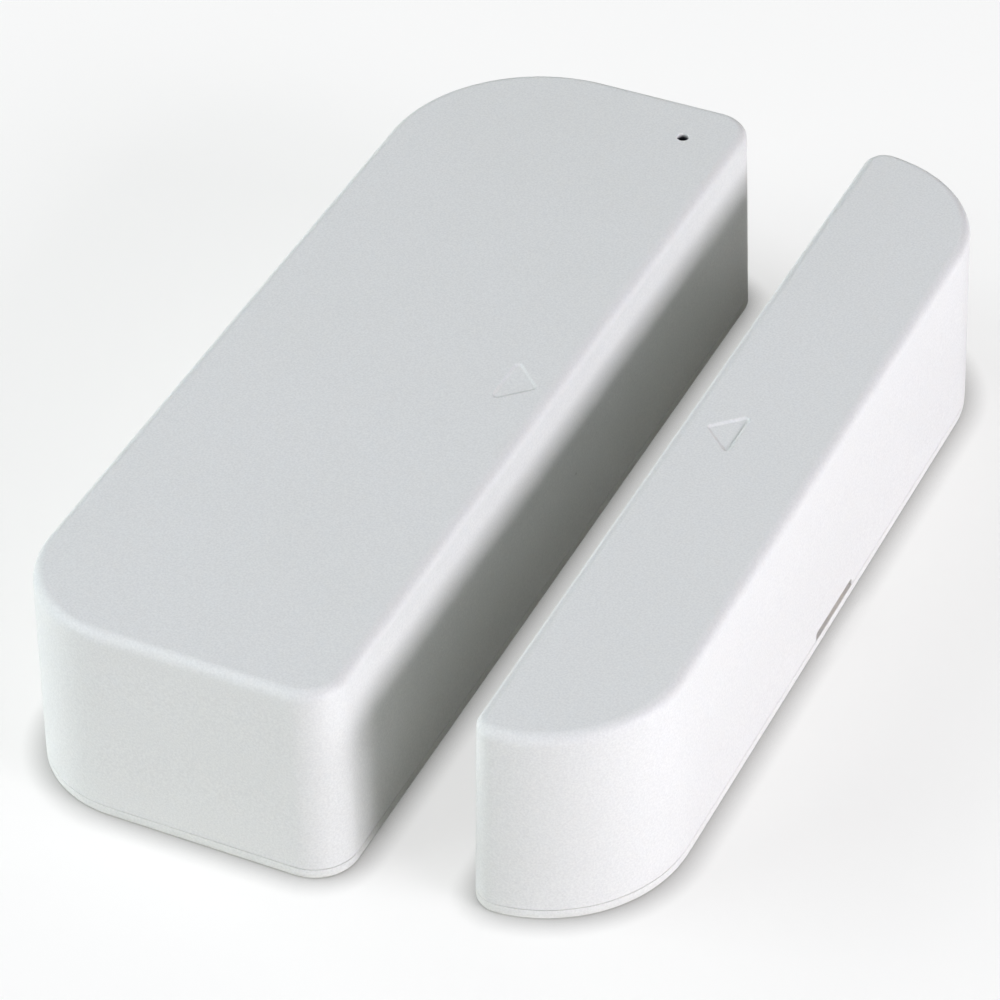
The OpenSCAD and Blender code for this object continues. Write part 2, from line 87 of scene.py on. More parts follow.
TRAY_HALF = 24.55             # half the inner length of the battery tray
CELL_R, CELL_LONG, CELL_Z = 5.25, 43.7, 8.5
CELL_NUB = 0.8                # the plus nub stands out this far
LEFT_CELL_X, RIGHT_CELL_X = -7.85, 2.85
CLEAR = 0.02                  # gap kept between touching metal parts
CONTACT = TRAY_HALF - CLEAR - 0.3     # inner face of the contact plates

REED_X, REED_Z, REED_LEG = 12.1, 8.9, 9.6
BAR_X, BAR_Z = MAGNET_LEFT + 6.3, 5.3
BAR_WIDE, BAR_LONG = 7.0, 38.0

# adhesive recesses in the plates' undersides: x0, y0, x1, y1
SENSOR_RECESSES = [(-11, y, 11, y + 24) for y in (-29, 5)]
MAGNET_RECESSES = [(MAGNET_LEFT + 2.4, MAGNET_Y + y, MAGNET_LEFT + 12.4, MAGNET_Y + y + 23)
                   for y in (-25, 2)]

# ------------------------------------------------------------------ material helper
MATERIALS = {}


class Material:
    """A Principled material with textures in object coordinates; it joins MATERIALS."""

    def __init__(self, name, **inputs):
        self.material = bpy.data.materials.new(name)
        self.material.use_nodes = True
        self.tree = self.material.node_tree
        self.shader = self.tree.nodes["Principled BSDF"]
        self.coords = self.node("TexCoord").outputs["Object"]
        self.last_bump = None
        for key, value in inputs.items():
            self.shader.inputs[key.replace("_", " ")].default_value = value
        MATERIALS[name] = self.material

    def node(self, kind):
        return self.tree.nodes.new("ShaderNode" + kind)

    def link(self, output, socket):
        self.tree.links.new(output, socket)

    def feed(self, socket, value):
        """Links another node's output, or stores a number or colour."""
        if isinstance(value, bpy.types.NodeSocket):
            self.link(value, socket)
        elif isinstance(value, tuple):
            socket.default_value = (*value[:3], 1)
        else:
            socket.default_value = value

    def noise(self, scale, detail=2.0, rough=0.5, stretch=None):
        noise = self.node("TexNoise")
        noise.inputs["Scale"].default_value = scale
        noise.inputs["Detail"].default_value = detail
        noise.inputs["Roughness"].default_value = rough
        vector = self.coords
        if stretch is not None:
            mapping = self.node("Mapping")
            mapping.inputs["Scale"].default_value = stretch
            self.link(self.coords, mapping.inputs["Vector"])
            vector = mapping.outputs["Vector"]
        self.link(vector, noise.inputs["Vector"])
        return noise.outputs["Fac"]

    def voronoi(self, scale):
        cells = self.node("TexVoronoi")
        cells.inputs["Scale"].default_value = scale
        self.link(self.coords, cells.inputs["Vector"])
        return cells.outputs["Distance"]

    def remap(self, source, span, to=(0, 1), smooth=False):
        remap = self.node("MapRange")
        if smooth:
            remap.interpolation_type = "SMOOTHSTEP"
        for key, value in zip(("From Min", "From Max", "To Min", "To Max"), (*span, *to)):
            remap.inputs[key].default_value = value
        self.link(source, remap.inputs["Value"])
        return remap.outputs["Result"]

    def math(self, operation, first, second):
        node = self.node("Math")
        node.operation = operation
        self.feed(node.inputs[0], first)
        self.feed(node.inputs[1], second)
        return node.outputs[0]

    def separate(self, vector):
        node = self.node("SeparateXYZ")
        self.link(vector, node.inputs[0])
        return node.outputs

    def mix(self, factor, first, second):
        node = self.node("Mix")
        node.data_type = "RGBA"
        sockets = {socket.identifier: socket for socket in node.inputs}
        self.feed(sockets["Factor_Float"], factor)
        self.feed(sockets["A_Color"], first)
        self.feed(sockets["B_Color"], second)
        return {socket.identifier: socket for socket in node.outputs}["Result_Color"]

    def colour(self, source):
        self.link(source, self.shader.inputs["Base Color"])

    def roughness(self, source):
        self.link(source, self.shader.inputs["Roughness"])

    def bump(self, height, depth, strength):
        """Adds relief on top of any earlier bump; depth is in millimetres."""
        node = self.node("Bump")
        node.inputs["Strength"].default_value = strength
        node.inputs["Distance"].default_value = depth * MM
        self.link(height, node.inputs["Height"])
        if self.last_bump is not None:
            self.link(self.last_bump, node.inputs["Normal"])
        self.last_bump = node.outputs["Normal"]
        self.link(self.last_bump, self.shader.inputs["Normal"])

    def mottle(self, first, second, span=(0.3, 0.7), **noise):
        """Base colour that drifts between two colours."""
        self.colour(self.mix(self.remap(self.noise(**noise), span), first, second))

    def sheen(self, low, high, **noise):
        """Roughness that drifts between two values."""
        self.roughness(self.remap(self.noise(**noise), (0.3, 0.7), (low, high)))

    def ripple(self, depth, strength, **noise):
        """Relief from one noise."""
        self.bump(self.noise(**noise), depth, strength)


def srgb(red, green, blue):
    def linear(value):
        value /= 255.0
        return value / 12.92 if value <= 0.04045 else ((value + 0.055) / 1.055) ** 2.4
    return (linear(red), linear(green), linear(blue), 1.0)


def shade(colour, factor):
    return tuple(value * factor for value in colour[:3])


# ------------------------------------------------------------------ moulded white ABS
def slot_mask(mat, axes):
    """1 inside the pry slot of the magnet cover."""
    limits = ((MAGNET_RIGHT - 1.70, MAGNET_RIGHT - 0.20),
              (MAGNET_Y - 3.5, MAGNET_Y + 5.5), (1.08, 2.06))
    mask = None
    for axis, (low, high) in zip(axes, limits):
        step = mat.math("MULTIPLY", mat.math("GREATER_THAN", axis, low * MM),
                        mat.math("LESS_THAN", axis, high * MM))
        mask = step if mask is None else mat.math("MULTIPLY", mask, step)
    return mask


def pinhole_shade_mask(mat, axes):
    """Painted shade: rises to 1 down the bore of the pinhole in the sensor cover."""
    radius, floor_z, dark_z, light_z = 0.66, 18.0, SENSOR_TALL - 0.50, SENSOR_TALL - 0.08
    dx = mat.math("SUBTRACT", axes[0], LIGHT[0] * MM)
    dy = mat.math("SUBTRACT", axes[1], LIGHT[1] * MM)
    square = mat.math("ADD", mat.math("MULTIPLY", dx, dx), mat.math("MULTIPLY", dy, dy))
    near = mat.math("LESS_THAN", square, (radius * MM) ** 2)
    near = mat.math("MULTIPLY", near, mat.math("GREATER_THAN", axes[2], floor_z * MM))
    return mat.math("MULTIPLY", near,
                    mat.remap(axes[2], (dark_z * MM, light_z * MM), (1.0, 0.0)))


def white_abs(name, base, warm):
    """Spark-eroded grain, slow sink waviness, faint yellowing and a few dark specks of dirt."""
    mat = Material(name, Roughness=0.5, IOR=1.53, Specular_IOR_Level=0.36,
                   Subsurface_Weight=0.12, Subsurface_Radius=(1.0, 0.85, 0.7),
                   Subsurface_Scale=0.0006)
    cloud = mat.remap(mat.noise(scale=38, detail=3, rough=0.55), (0.3, 0.7))
    colour = mat.mix(cloud, base, warm)
    grain = mat.noise(scale=5200, detail=3, rough=0.6)
    colour = mat.mix(mat.remap(grain, (0.30, 0.70), (0.0, 0.68)), colour, shade(base, 0.80))

    # dark specks: a cell centre shows where the slow noise lets it have a size
    distance = mat.voronoi(scale=150)
    size = mat.remap(mat.noise(scale=260, detail=1), (0.52, 0.75), (0.0, 0.055))
    specks = mat.remap(mat.math("SUBTRACT", size, distance), (0.0, 0.008), (0.0, 0.5))
    colour = mat.mix(specks, colour, (0.30, 0.28, 0.24))

    # a tan tint in the pry slot, darker in patches, and painted shade that darkens the
    # pinhole's bore with depth
    axes = mat.separate(mat.coords)
    slot = slot_mask(mat, axes)
    patches = mat.remap(mat.noise(scale=900, detail=4, rough=0.65), (0.42, 0.62))
    slot_tint = mat.mix(patches, srgb(242, 214, 182), srgb(196, 158, 122))
    colour = mat.mix(slot, colour, slot_tint)
    colour = mat.mix(pinhole_shade_mask(mat, axes), colour, (0.034, 0.034, 0.044))
    mat.colour(colour)

    mat.sheen(low=0.46, high=0.60, scale=900, detail=4, rough=0.6)
    mat.bump(grain, depth=0.010, strength=0.55)
    mat.ripple(depth=0.006, strength=0.5, scale=1500)
    mat.ripple(depth=0.03, strength=0.35, scale=60)


white_abs("white_plastic", base=srgb(226.5, 226.5, 222.5), warm=srgb(224.5, 224.5, 219.5))
white_abs("base_plastic", base=srgb(226.5, 226.5, 221.5), warm=srgb(223.5, 223.5, 217.5))


# ------------------------------------------------------------------ dark and cream plastics
def plastic(name, base, rough, grain, depth):
    mat = Material(name, Specular_IOR_Level=0.45)
    worn = tuple(value * 0.88 + 0.004 for value in base[:3])
    mat.mottle(base, worn, scale=140, detail=4, rough=0.6)
    mat.sheen(low=rough - 0.06, high=rough + 0.08, scale=1200, detail=4, rough=0.6)
    mat.ripple(depth=depth, strength=0.6, scale=grain, detail=3, rough=0.6)
    mat.ripple(depth=0.02, strength=0.3, scale=120)


plastic("black_plastic", srgb(34, 35, 37), rough=0.48, grain=3600, depth=0.012)
plastic("chip_black", srgb(30, 30, 31), rough=0.62, grain=6500, depth=0.008)
plastic("button_plastic", srgb(214, 211, 200), rough=0.38, grain=5200, depth=0.006)


# ------------------------------------------------------------------ metals
def metal(name, base, rough, scale, stretch, wear, depth):
    mat = Material(name, Metallic=1.0)
    grain = mat.noise(scale, detail=4, rough=0.6, stretch=stretch)
    mat.mottle(base, shade(base, 1 - wear), span=(0.3, 0.75), scale=400, detail=4, rough=0.6)
    mat.roughness(mat.remap(grain, (0.3, 0.7), (max(rough - 0.08, 0.04), rough + 0.10)))
    mat.bump(grain, depth, strength=0.6)


# name, sRGB colour, roughness, grain scale, grain stretch, darkening, relief in mm
METALS = (
    ("nickel_steel", (205, 200, 190), 0.24, 2600, (1, 1, 9), 0.10, 0.004),
    ("zinc_steel", (196, 198, 202), 0.30, 5000, None, 0.14, 0.004),
    ("reed_metal", (206, 196, 178), 0.26, 3800, None, 0.10, 0.003),
    ("shield_metal", (196, 198, 200), 0.30, 2200, (8, 1, 1), 0.10, 0.004),
    ("copper_wire", (206, 132, 88), 0.22, 2600, None, 0.16, 0.003),
    ("solder", (206, 208, 210), 0.22, 1500, None, 0.18, 0.010),
    ("gold_pad", (222, 190, 118), 0.26, 3000, None, 0.10, 0.002),
    ("capacitor_can", (202, 204, 208), 0.22, 2600, None, 0.08, 0.004),
)
for name, rgb, *values in METALS:
    metal(name, srgb(*rgb), *values)


# ------------------------------------------------------------------ foam, paper, ferrite
def foam(name, base, cell_scale, depth):
    mat = Material(name, Roughness=0.92, Specular_IOR_Level=0.15)
    cells = mat.voronoi(cell_scale)
    mat.colour(mat.mix(mat.remap(cells, (0.0, 0.6)), shade(base, 0.78), base))
    mat.bump(mat.remap(cells, (0.0, 0.6)), depth, strength=0.7)
    mat.ripple(depth=0.05, strength=0.4, scale=300, detail=3)


foam("foam_tape", srgb(222, 221, 214), cell_scale=1700, depth=0.04)
foam("dark_foam", srgb(62, 62, 64), cell_scale=1400, depth=0.08)


def liner_paper():
    mat = Material("liner_paper", Roughness=0.5)
    mat.mottle(srgb(228, 227, 220), srgb(219, 216, 206), scale=700, detail=5, rough=0.65)
    mat.sheen(low=0.38, high=0.58, scale=500, detail=3)
    mat.ripple(depth=0.012, strength=0.5, scale=900, detail=4, rough=0.6)


def ferrite():
    mat = Material("ferrite", Metallic=0.85)
    mat.mottle(srgb(92, 92, 96), srgb(62, 61, 63), span=(0.35, 0.7),
               scale=320, detail=5, rough=0.65)
    mat.sheen(low=0.32, high=0.52, scale=1400, detail=4)
    mat.ripple(depth=0.012, strength=0.7, scale=2400, detail=4, rough=0.65)


# ------------------------------------------------------------------ board materials
def board_green():
    """Solder mask over a weave, with copper areas showing faintly through."""
    mat = Material("board_green", IOR=1.5, Coat_Weight=0.6, Coat_Roughness=0.12)
    weave = mat.math("ADD", mat.noise(scale=1500, detail=1, stretch=(6, 1, 1)),
                     mat.noise(scale=1500, detail=1, stretch=(1, 6, 1)))
    copper = mat.remap(mat.noise(scale=170, detail=1, rough=0.4), (0.47, 0.50), smooth=True)
    green = mat.mix(copper, srgb(16, 84, 46), srgb(26, 108, 58))
    mat.colour(mat.mix(mat.remap(weave, (0.8, 1.2), (0.0, 0.25)), green, srgb(8, 52, 30)))
    mat.sheen(low=0.30, high=0.45, scale=600, detail=3)
    mat.bump(weave, depth=0.006, strength=0.5)
    mat.bump(copper, depth=0.02, strength=0.4)


def silk_white():
    mat = Material("silk_white", Roughness=0.6)
    mat.mottle(srgb(228, 230, 226), srgb(190, 200, 190), span=(0.35, 0.7), scale=3000, detail=3)
    mat.ripple(depth=0.004, strength=0.5, scale=5000)


def trace_green():
    mat = Material("trace_green", IOR=1.5, Coat_Weight=0.6, Coat_Roughness=0.14)
    mat.mottle(srgb(34, 124, 68), srgb(28, 110, 60), span=(0.35, 0.7), scale=900, detail=3)
    mat.sheen(low=0.28, high=0.40, scale=600, detail=3)
    mat.ripple(depth=0.004, strength=0.5, scale=2400)


for build in (liner_paper, ferrite, board_green, silk_white, trace_green):
    build()


# ------------------------------------------------------------------ clear materials
def clear(name, base, rough, ior):
    mat = Material(name, IOR=ior, Transmission_Weight=1.0)
    mat.mottle(base, shade(base, 0.96), scale=300)
    mat.sheen(low=rough, high=rough + 0.06, scale=1500, detail=3)
    mat.ripple(depth=0.004, strength=0.3, scale=900)


def led_lens():
    mat = Material("led_lens", IOR=1.5, Transmission_Weight=0.55)
    mat.mottle(srgb(246, 244, 226), srgb(238, 234, 206), scale=2500)
    mat.sheen(low=0.18, high=0.30, scale=3000)
    mat.ripple(depth=0.003, strength=0.5, scale=3500)


clear("reed_glass", srgb(214, 240, 224), rough=0.02, ior=1.52)
# smoke-grey light pipe: its dark tint is painted shade, so the pinhole above it reads as dark
# as a deep bore
clear("clear_plastic", srgb(58, 60, 66), rough=0.08, ior=1.49)
led_lens()


# ------------------------------------------------------------------ shrink sleeves
def jacket(name, base, scuffed):
    """Satin film with a fine lengthways stretch and scuffs."""
    mat = Material(name, Coat_Weight=0.5, Coat_Roughness=0.18)
    scuffs = mat.remap(mat.noise(scale=700, detail=6, rough=0.7, stretch=(1, 0.15, 1)),
                       (0.56, 0.72), (0, 0.35))
    mat.colour(mat.mix(scuffs, base, scuffed))
    mat.sheen(low=0.26, high=0.42, scale=900, detail=4, rough=0.6, stretch=(1, 0.2, 1))
    mat.ripple(depth=0.010, strength=0.5, scale=800, detail=3, stretch=(4, 0.3, 4))


jacket("cell_jacket", srgb(36, 62, 104), scuffed=srgb(92, 112, 142))
jacket("cell_band", srgb(196, 200, 204), scuffed=srgb(232, 232, 230))
jacket("cap_sleeve", srgb(38, 40, 58), scuffed=srgb(70, 72, 88))
jacket("cap_stripe", srgb(176, 180, 186), scuffed=srgb(210, 210, 214))


# ------------------------------------------------------------------ mesh helpers
# A shape is (vertices, faces), with a material slot or a list of slots as a third member.
def new_object(name, verts, faces):
    mesh = bpy.data.meshes.new(name)
    mesh.from_pydata([(x * MM, y * MM, z * MM) for x, y, z in verts], [], faces)
    item = bpy.data.objects.new(name, mesh)
    bpy.context.scene.collection.objects.link(item)
    return item


def tidy(mesh, weld):
    """Turns all faces outward, after welding doubled points if asked."""
    work = bmesh.new()
    work.from_mesh(mesh)
    if weld:
        bmesh.ops.remove_doubles(work, verts=work.verts, dist=2e-7)
    bmesh.ops.recalc_face_normals(work, faces=work.faces)
    work.to_mesh(mesh)
    work.free()


def finish_mesh(item, smooth=34):
    """Welds, shades smooth up to an angle in degrees and adds weighted normals."""
    tidy(item.data, weld=True)
    item.data.polygons.foreach_set("use_smooth", [True] * len(item.data.polygons))
    item.data.set_sharp_from_angle(angle=math.radians(smooth))
    if not item.modifiers.get("weighted"):
        weighted = item.modifiers.new("weighted", "WEIGHTED_NORMAL")
        weighted.keep_sharp = True
        weighted.weight = 60
    item.data.update()


def add_piece(name, shape, materials, node=None, body="transmitter", slot=None, smooth=34):
    """Makes a product piece. The slot argument is not used."""
    verts, faces, *face_slots = shape
    item = new_object(name, verts, faces)
    materials = [materials] if isinstance(materials, str) else materials
    for key in materials:
        item.data.materials.append(MATERIALS[key])
    if face_slots:
        item.data.polygons.foreach_set("material_index", face_slots[0])
    finish_mesh(item, smooth)
    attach(item, body)
    slot or materials[0]
    if node:
        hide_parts(node)
    return item


def solid(shape):
    """A bare object to cut with or to add."""
    item = new_object("tool", *shape)
    tidy(item.data, weld=False)
    return item


def discard(item):
    mesh = item.data
    bpy.data.objects.remove(item)
    bpy.data.meshes.remove(mesh)


def cut(item, tools, operation="DIFFERENCE"):
    """Exact boolean with each tool in turn, baked into the mesh. The tools go away."""
    for tool in tools:
        boolean = item.modifiers.new("cut", "BOOLEAN")
        boolean.operation = operation
        boolean.solver = "EXACT"
        boolean.object = tool
        weighted = item.modifiers.get("weighted")
        if weighted:
            weighted.show_viewport = False
        graph = bpy.context.evaluated_depsgraph_get()
        baked = bpy.data.meshes.new_from_object(item.evaluated_get(graph))
        item.modifiers.remove(boolean)
        if weighted:
            weighted.show_viewport = True
        old = item.data
        item.data = baked
        bpy.data.meshes.remove(old)
        discard(tool)
    return item


def carved(shape, tools):
    """The shape with the tools cut out of it, again as a shape."""
    item = cut(solid(shape), tools)
    verts = [tuple(value / MM for value in vert.co) for vert in item.data.vertices]
    faces = [tuple(face.vertices) for face in item.data.polygons]
    discard(item)
    return verts, faces


def merge(*parts):
    """Joins shapes into one with a slot for every face; the slot is 0 unless painted."""
    verts, faces, slots = [], [], []
    for part_verts, part_faces, *slot in parts:
        start = len(verts)
        verts += part_verts
        faces += [tuple(i + start for i in face) for face in part_faces]
        slot = slot[0] if slot else 0
        slots += slot if isinstance(slot, list) else [slot] * len(part_faces)
    return verts, faces, slots


def paint(shape, slot):
    return (*shape, slot)


def loft(rings, close=False):
    """Skin over rings of equal count: capped, or with the last ring joined to the first."""
    count = len(rings[0])
    verts = [point for ring in rings for point in ring]
    faces = []
    for k in range(len(rings) if close else len(rings) - 1):
        this, following = k * count, ((k + 1) % len(rings)) * count
        for i in range(count):
            j = (i + 1) % count
            faces.append((this + i, this + j, following + j, following + i))
    if not close:
        faces.append(tuple(range(count - 1, -1, -1)))
        faces.append(tuple(range((len(rings) - 1) * count, len(rings) * count)))
    return verts, faces


def circle(radius, count):
    turns = [2 * math.pi * i / count for i in range(count)]
    return [(radius * math.cos(turn), radius * math.sin(turn)) for turn in turns]


TURNS = {"z": lambda x, y, z: (x, y, z),
         "y": lambda x, y, z: (x, z, -y),
         "-y": lambda x, y, z: (x, -z, y)}


def lathe(profile, steps, at=(0, 0, 0), axis="z"):
    """Turns (radius, height) points about an axis. A radius of 0 closes that end in a point."""
    verts, faces, rows = [], [], []
    for radius, z in profile:
        if radius < 1e-6:
            rows.append([len(verts)])
            verts.append((0, 0, z))
        else:
            rows.append(list(range(len(verts), len(verts) + steps)))
            verts += [(x, y, z) for x, y in circle(radius, steps)]
    for low, high in zip(rows, rows[1:]):
        for i in range(steps):
            j = (i + 1) % steps
            if len(low) == 1:
                faces.append((low[0], high[j], high[i]))
            elif len(high) == 1:
                faces.append((low[i], low[j], high[0]))
            else:
                faces.append((low[i], low[j], high[j], high[i]))
    if len(rows[0]) > 1:
        faces.append(tuple(reversed(rows[0])))
    if len(rows[-1]) > 1:
        faces.append(tuple(rows[-1]))
    verts = [tuple(a + b for a, b in zip(TURNS[axis](*vert), at)) for vert in verts]
    return verts, faces


def turned(profile, steps, x, y, z=0):
    """An upright lathe shape as a tool."""
    return solid(lathe(profile, steps, (x, y, z)))


def swung(shape, x, y, angle):
    """A tool made round the origin, turned about z and moved into place."""
    tool = solid(shape)
    tool.matrix_world = (Matrix.Translation((x * MM, y * MM, 0))
                         @ Matrix.Rotation(angle, 4, "Z"))
    bpy.context.view_layer.update()
    return tool


def arc(x, y, radius, start, end, steps, skip_first=False):
    """Points on an arc between two angles in degrees."""
    turns = [math.radians(start + (end - start) * i / steps)
             for i in range(1 if skip_first else 0, steps + 1)]
    return [(x + radius * math.cos(turn), y + radius * math.sin(turn)) for turn in turns]


def rounded_rect(x0, y0, x1, y1, radii, steps, grow=0.0):
    """Rounded rectangle; four radii and steps run counter-clockwise from (x0, y0)."""
    radii = radii if isinstance(radii, tuple) else (radii,) * 4
    steps = steps if isinstance(steps, tuple) else (steps,) * 4
    corners = ((x0, y0, 1, 1), (x1, y0, -1, 1), (x1, y1, -1, -1), (x0, y1, 1, -1))
    points = []
    for (x, y, in_x, in_y), radius, count, start in zip(corners, radii, steps,
                                                       (180, 270, 0, 90)):
        points += arc(x + in_x * radius, y + in_y * radius, max(radius + grow, 1e-4),
                      start, start + 90, count)
    return points


def round_box(low, high, edge, corner=None, steps=3, flat_foot=False):
    """Box between two points with rounded edges; corner rounds the upright ones more."""
    (x0, y0, z0), (x1, y1, z1) = low, high
    corner = max(corner or edge, edge)

    def level(grow, z):
        return [(x, y, z)
                for x, y in rounded_rect(x0, y0, x1, y1, corner, steps + 1, grow)]

    rings = []
    if flat_foot:
        rings.append(level(0, z0))
    else:
        for i in range(steps + 1):
            turn = math.radians(90 - 90 * i / steps)
            rings.append(level(-edge + edge * math.cos(turn),
                               z0 + edge - edge * math.sin(turn)))
    for i in range(steps + 1):
        turn = math.radians(90 * i / steps)
        rings.append(level(-edge + edge * math.cos(turn), z1 - edge + edge * math.sin(turn)))
    return loft(rings)


def board_box(x, y, half_x, half_y, low, high, edge, corner=None, steps=3, flat_foot=False):
    """Rounded box centred on (x, y), its heights counted from the board's top."""
    return round_box((x - half_x, y - half_y, BOARD_TOP + low),
                     (x + half_x, y + half_y, BOARD_TOP + high),
                     edge, corner, steps, flat_foot)


def slot_cutter(low, high, radius, axis="z"):
    """Rounded slot cutter that runs along an axis."""
    (x0, y0, z0), (x1, y1, z1) = low, high
    if axis == "x":
        outline = rounded_rect(y0, z0, y1, z1, radius, 5)
        return solid(loft([[(x, y, z) for y, z in outline] for x in (x0, x1)]))
    outline = rounded_rect(x0, y0, x1, y1, radius, 5)
    return solid(loft([[(x, y, z) for x, y in outline] for z in (z0, z1)]))


def dip_cutter(x, y, half, low, radius, steps):
    """Cuts a round-cornered dip across x into walls, from low upward."""
    outline = ([(y - half, 20), (y - half, low)]
               + arc(y - half + radius, low, radius, 180, 270, steps, True)
               + arc(y + half - radius, low, radius, 270, 360, steps) + [(y + half, 20)])
    return solid(loft([[(side, a, b) for a, b in outline] for side in (x - 20, x + 20)]))


def sweep(path, radius, steps=14):
    """Round wire along a path, capped."""
    points = [Vector(point) for point in path]
    along = (points[1] - points[0]).normalized()
    up = Vector((0, 0, 1)) if abs(along.z) < 0.9 else Vector((1, 0, 0))
    side = along.cross(up).normalized()
    rings = []
    for i, point in enumerate(points):
        before, after = points[max(i - 1, 0)], points[min(i + 1, len(points) - 1)]
        along = (after - before).normalized()
        side = (side - along * side.dot(along)).normalized()
        other = along.cross(side)
        turns = [2 * math.pi * k / steps for k in range(steps)]
        rings.append([tuple(point + side * radius * math.cos(turn)
                            + other * radius * math.sin(turn)) for turn in turns])
    return loft(rings)


# ------------------------------------------------------------------ the two outlines
def sensor_outline(grow):
    half_x, half_y = SENSOR_WIDE / 2, SENSOR_LONG / 2
    return rounded_rect(-half_x, -half_y, half_x, half_y, SENSOR_RADII, SENSOR_STEPS, grow)


def magnet_outline(grow):
    left, near, far = MAGNET_LEFT, MAGNET_NEAR, MAGNET_NEAR + MAGNET_LONG
    sweep_r, small_r = SWEEP + grow, SMALL + grow
    return (arc(left + SMALL, near + SMALL_Y, small_r, 180, 360 - MEET, 12)
            + arc(left + SWEEP_X, near + SWEEP, sweep_r, 360 - MEET, 360, 30, True)
            + arc(left + SWEEP_X, far - SWEEP, sweep_r, 0, MEET, 30)
            + arc(left + SMALL, far - SMALL_Y, small_r, MEET, 180, 12, True))


def level_ring(outline, grow, z):
    return [(x, y, z) for x, y in outline(grow)]


def lean(height, z):
    """How far the drafted outside has spread at z."""
    return (height - EDGE - z) * DRAFT


# ------------------------------------------------------------------ covers
def mark_outline(base_x, y, length, half, sign, grow):
    """Rounded triangle whose apex points along sign * x."""
    radius = 0.32
    lean_angle = math.degrees(math.atan2(half, length))
    side = half - radius / math.tan(math.radians(45 - lean_angle / 2))
    apex = length - radius / math.sin(math.radians(lean_angle))
    points = (arc(radius, -side, radius + grow, 180, 270 + lean_angle, 8)
              + arc(apex, 0, radius + grow, lean_angle - 90, 90 - lean_angle, 8)
              + arc(radius, side, radius + grow, 90 - lean_angle, 180, 8))
    placed = [(base_x + sign * px, y + py) for px, py in points]
    return placed if sign > 0 else placed[::-1]


# section of the mark's dished floor and soft lip: growth of the outline, height from the top
MARK_SECTION = ((-0.20, -0.20), (-0.14, -0.195), (-0.06, -0.165), (0.08, -0.06),
                (0.15, -0.018), (0.22, 0.0), (0.30, 0.06))


def mark_cutter(top, depth, base_x, y, length, half, sign):
    """Cuts the triangular mark; depth scales the part below the top."""
    return solid(loft([
        [(px, py, top + (z if z > 0 else z * depth))
         for px, py in mark_outline(base_x, y, length, half, sign, grow)]
        for grow, z in MARK_SECTION]))


def cover(name, outline, height, inner_edge, body, node):
    """Shell lofted from the ceiling down the inside, round the foot, up and over the top."""
    rings = []

    def add(grow, z):
        rings.append(level_ring(outline, grow, z))

    for i in range(5):
        turn = math.radians(90 - 90 * i / 4)
        add(-(WALL + inner_edge) + inner_edge * math.cos(turn),
            height - CEILING - inner_edge + inner_edge * math.sin(turn))
    foot = SEAM_TOP - 0.045
    spread = lean(height, foot)
    add(-WALL, foot + 0.12)
    add(-WALL + 0.12, foot)
    add(spread - 0.07, foot)
    add(spread - 0.02, foot + 0.018)
    add(spread - 0.002, foot + 0.07)
    for k in range(1, 5):
        z = foot + 0.07 + (height - EDGE - foot - 0.07) * k / 5
        add(lean(height, z), z)
    for i in range(11):
        turn = math.radians(90 * i / 10)
        add(-EDGE + EDGE * math.cos(turn), height - EDGE + EDGE * math.sin(turn))
    return add_piece(name, loft(rings), "white_plastic", node, body)


def sensor_cover():
    shell = cover("cover_shell", sensor_outline, SENSOR_TALL, 0.6, "cover", "sensor_cover")
    # sleeve for the light pipe, post over the tamper pin, ribs and gussets over the cells
    inside = [turned([(2.3, 14.0), (2.3, 20.2)], 40, *LIGHT),
              turned([(1.7, 17.05), (2.0, 17.35), (2.0, 20.2)], 32, *TAMPER)]
    inside += [solid(round_box((-12.5, y - 0.6, 14.0), (7.0, y + 0.6, 20.2), 0.2))
               for y in (-13, 13)]
    inside += [solid(round_box((-15.2, y - 0.5, 12.5), (-12.3, y + 0.5, 20.2), 0.2))
               for y in (-13, 13)]
    cut(shell, inside, "UNION")
    # bore of the sleeve, the pinhole above it, the mark and the slot in the left wall
    pinhole = [(0.6, 19.0), (0.6, SENSOR_TALL - 0.05), (0.612, SENSOR_TALL - 0.018),
               (0.64, SENSOR_TALL - 0.002), (0.70, SENSOR_TALL + 0.05)]
    left = -SENSOR_WIDE / 2
    cut(shell, [turned([(1.5, 10.0), (1.5, 20.38)], 32, *LIGHT),
                turned(pinhole, 32, *LIGHT),
                mark_cutter(SENSOR_TALL, 0.75, base_x=SENSOR_WIDE / 2 - 5.2, y=-0.85,
                            length=3.2, half=3.05, sign=1),
                slot_cutter((left - 2.5, -4.4, SEAM_TOP - 1.2),
                            (left + WALL + 0.4, 4.4, 2.0), 0.35, "x")])
    finish_mesh(shell)


def magnet_cover():
    shell = cover("magnet_shell", magnet_outline, MAGNET_TALL, 0.4, "magnet_lid",
                  "magnet_cover")
    ribs = [solid(round_box((BAR_X - 3.5, MAGNET_Y + y - 0.6, 13.7),
                            (BAR_X + 3.5, MAGNET_Y + y + 0.6, 19.8), 0.2))
            for y in (-11, 11)]
    cut(shell, ribs, "UNION")
    cut(shell, [mark_cutter(MAGNET_TALL, 1.0, base_x=MAGNET_LEFT + 5.65, y=MAGNET_Y - 0.85,
                            length=3.1, half=2.9, sign=-1),
                slot_cutter((MAGNET_RIGHT - WALL - 0.4, MAGNET_Y - 3.4, SEAM_TOP - 1.2),
                            (MAGNET_RIGHT + 2.5, MAGNET_Y + 5.4, 2.0), 0.35, "x")])
    finish_mesh(shell)


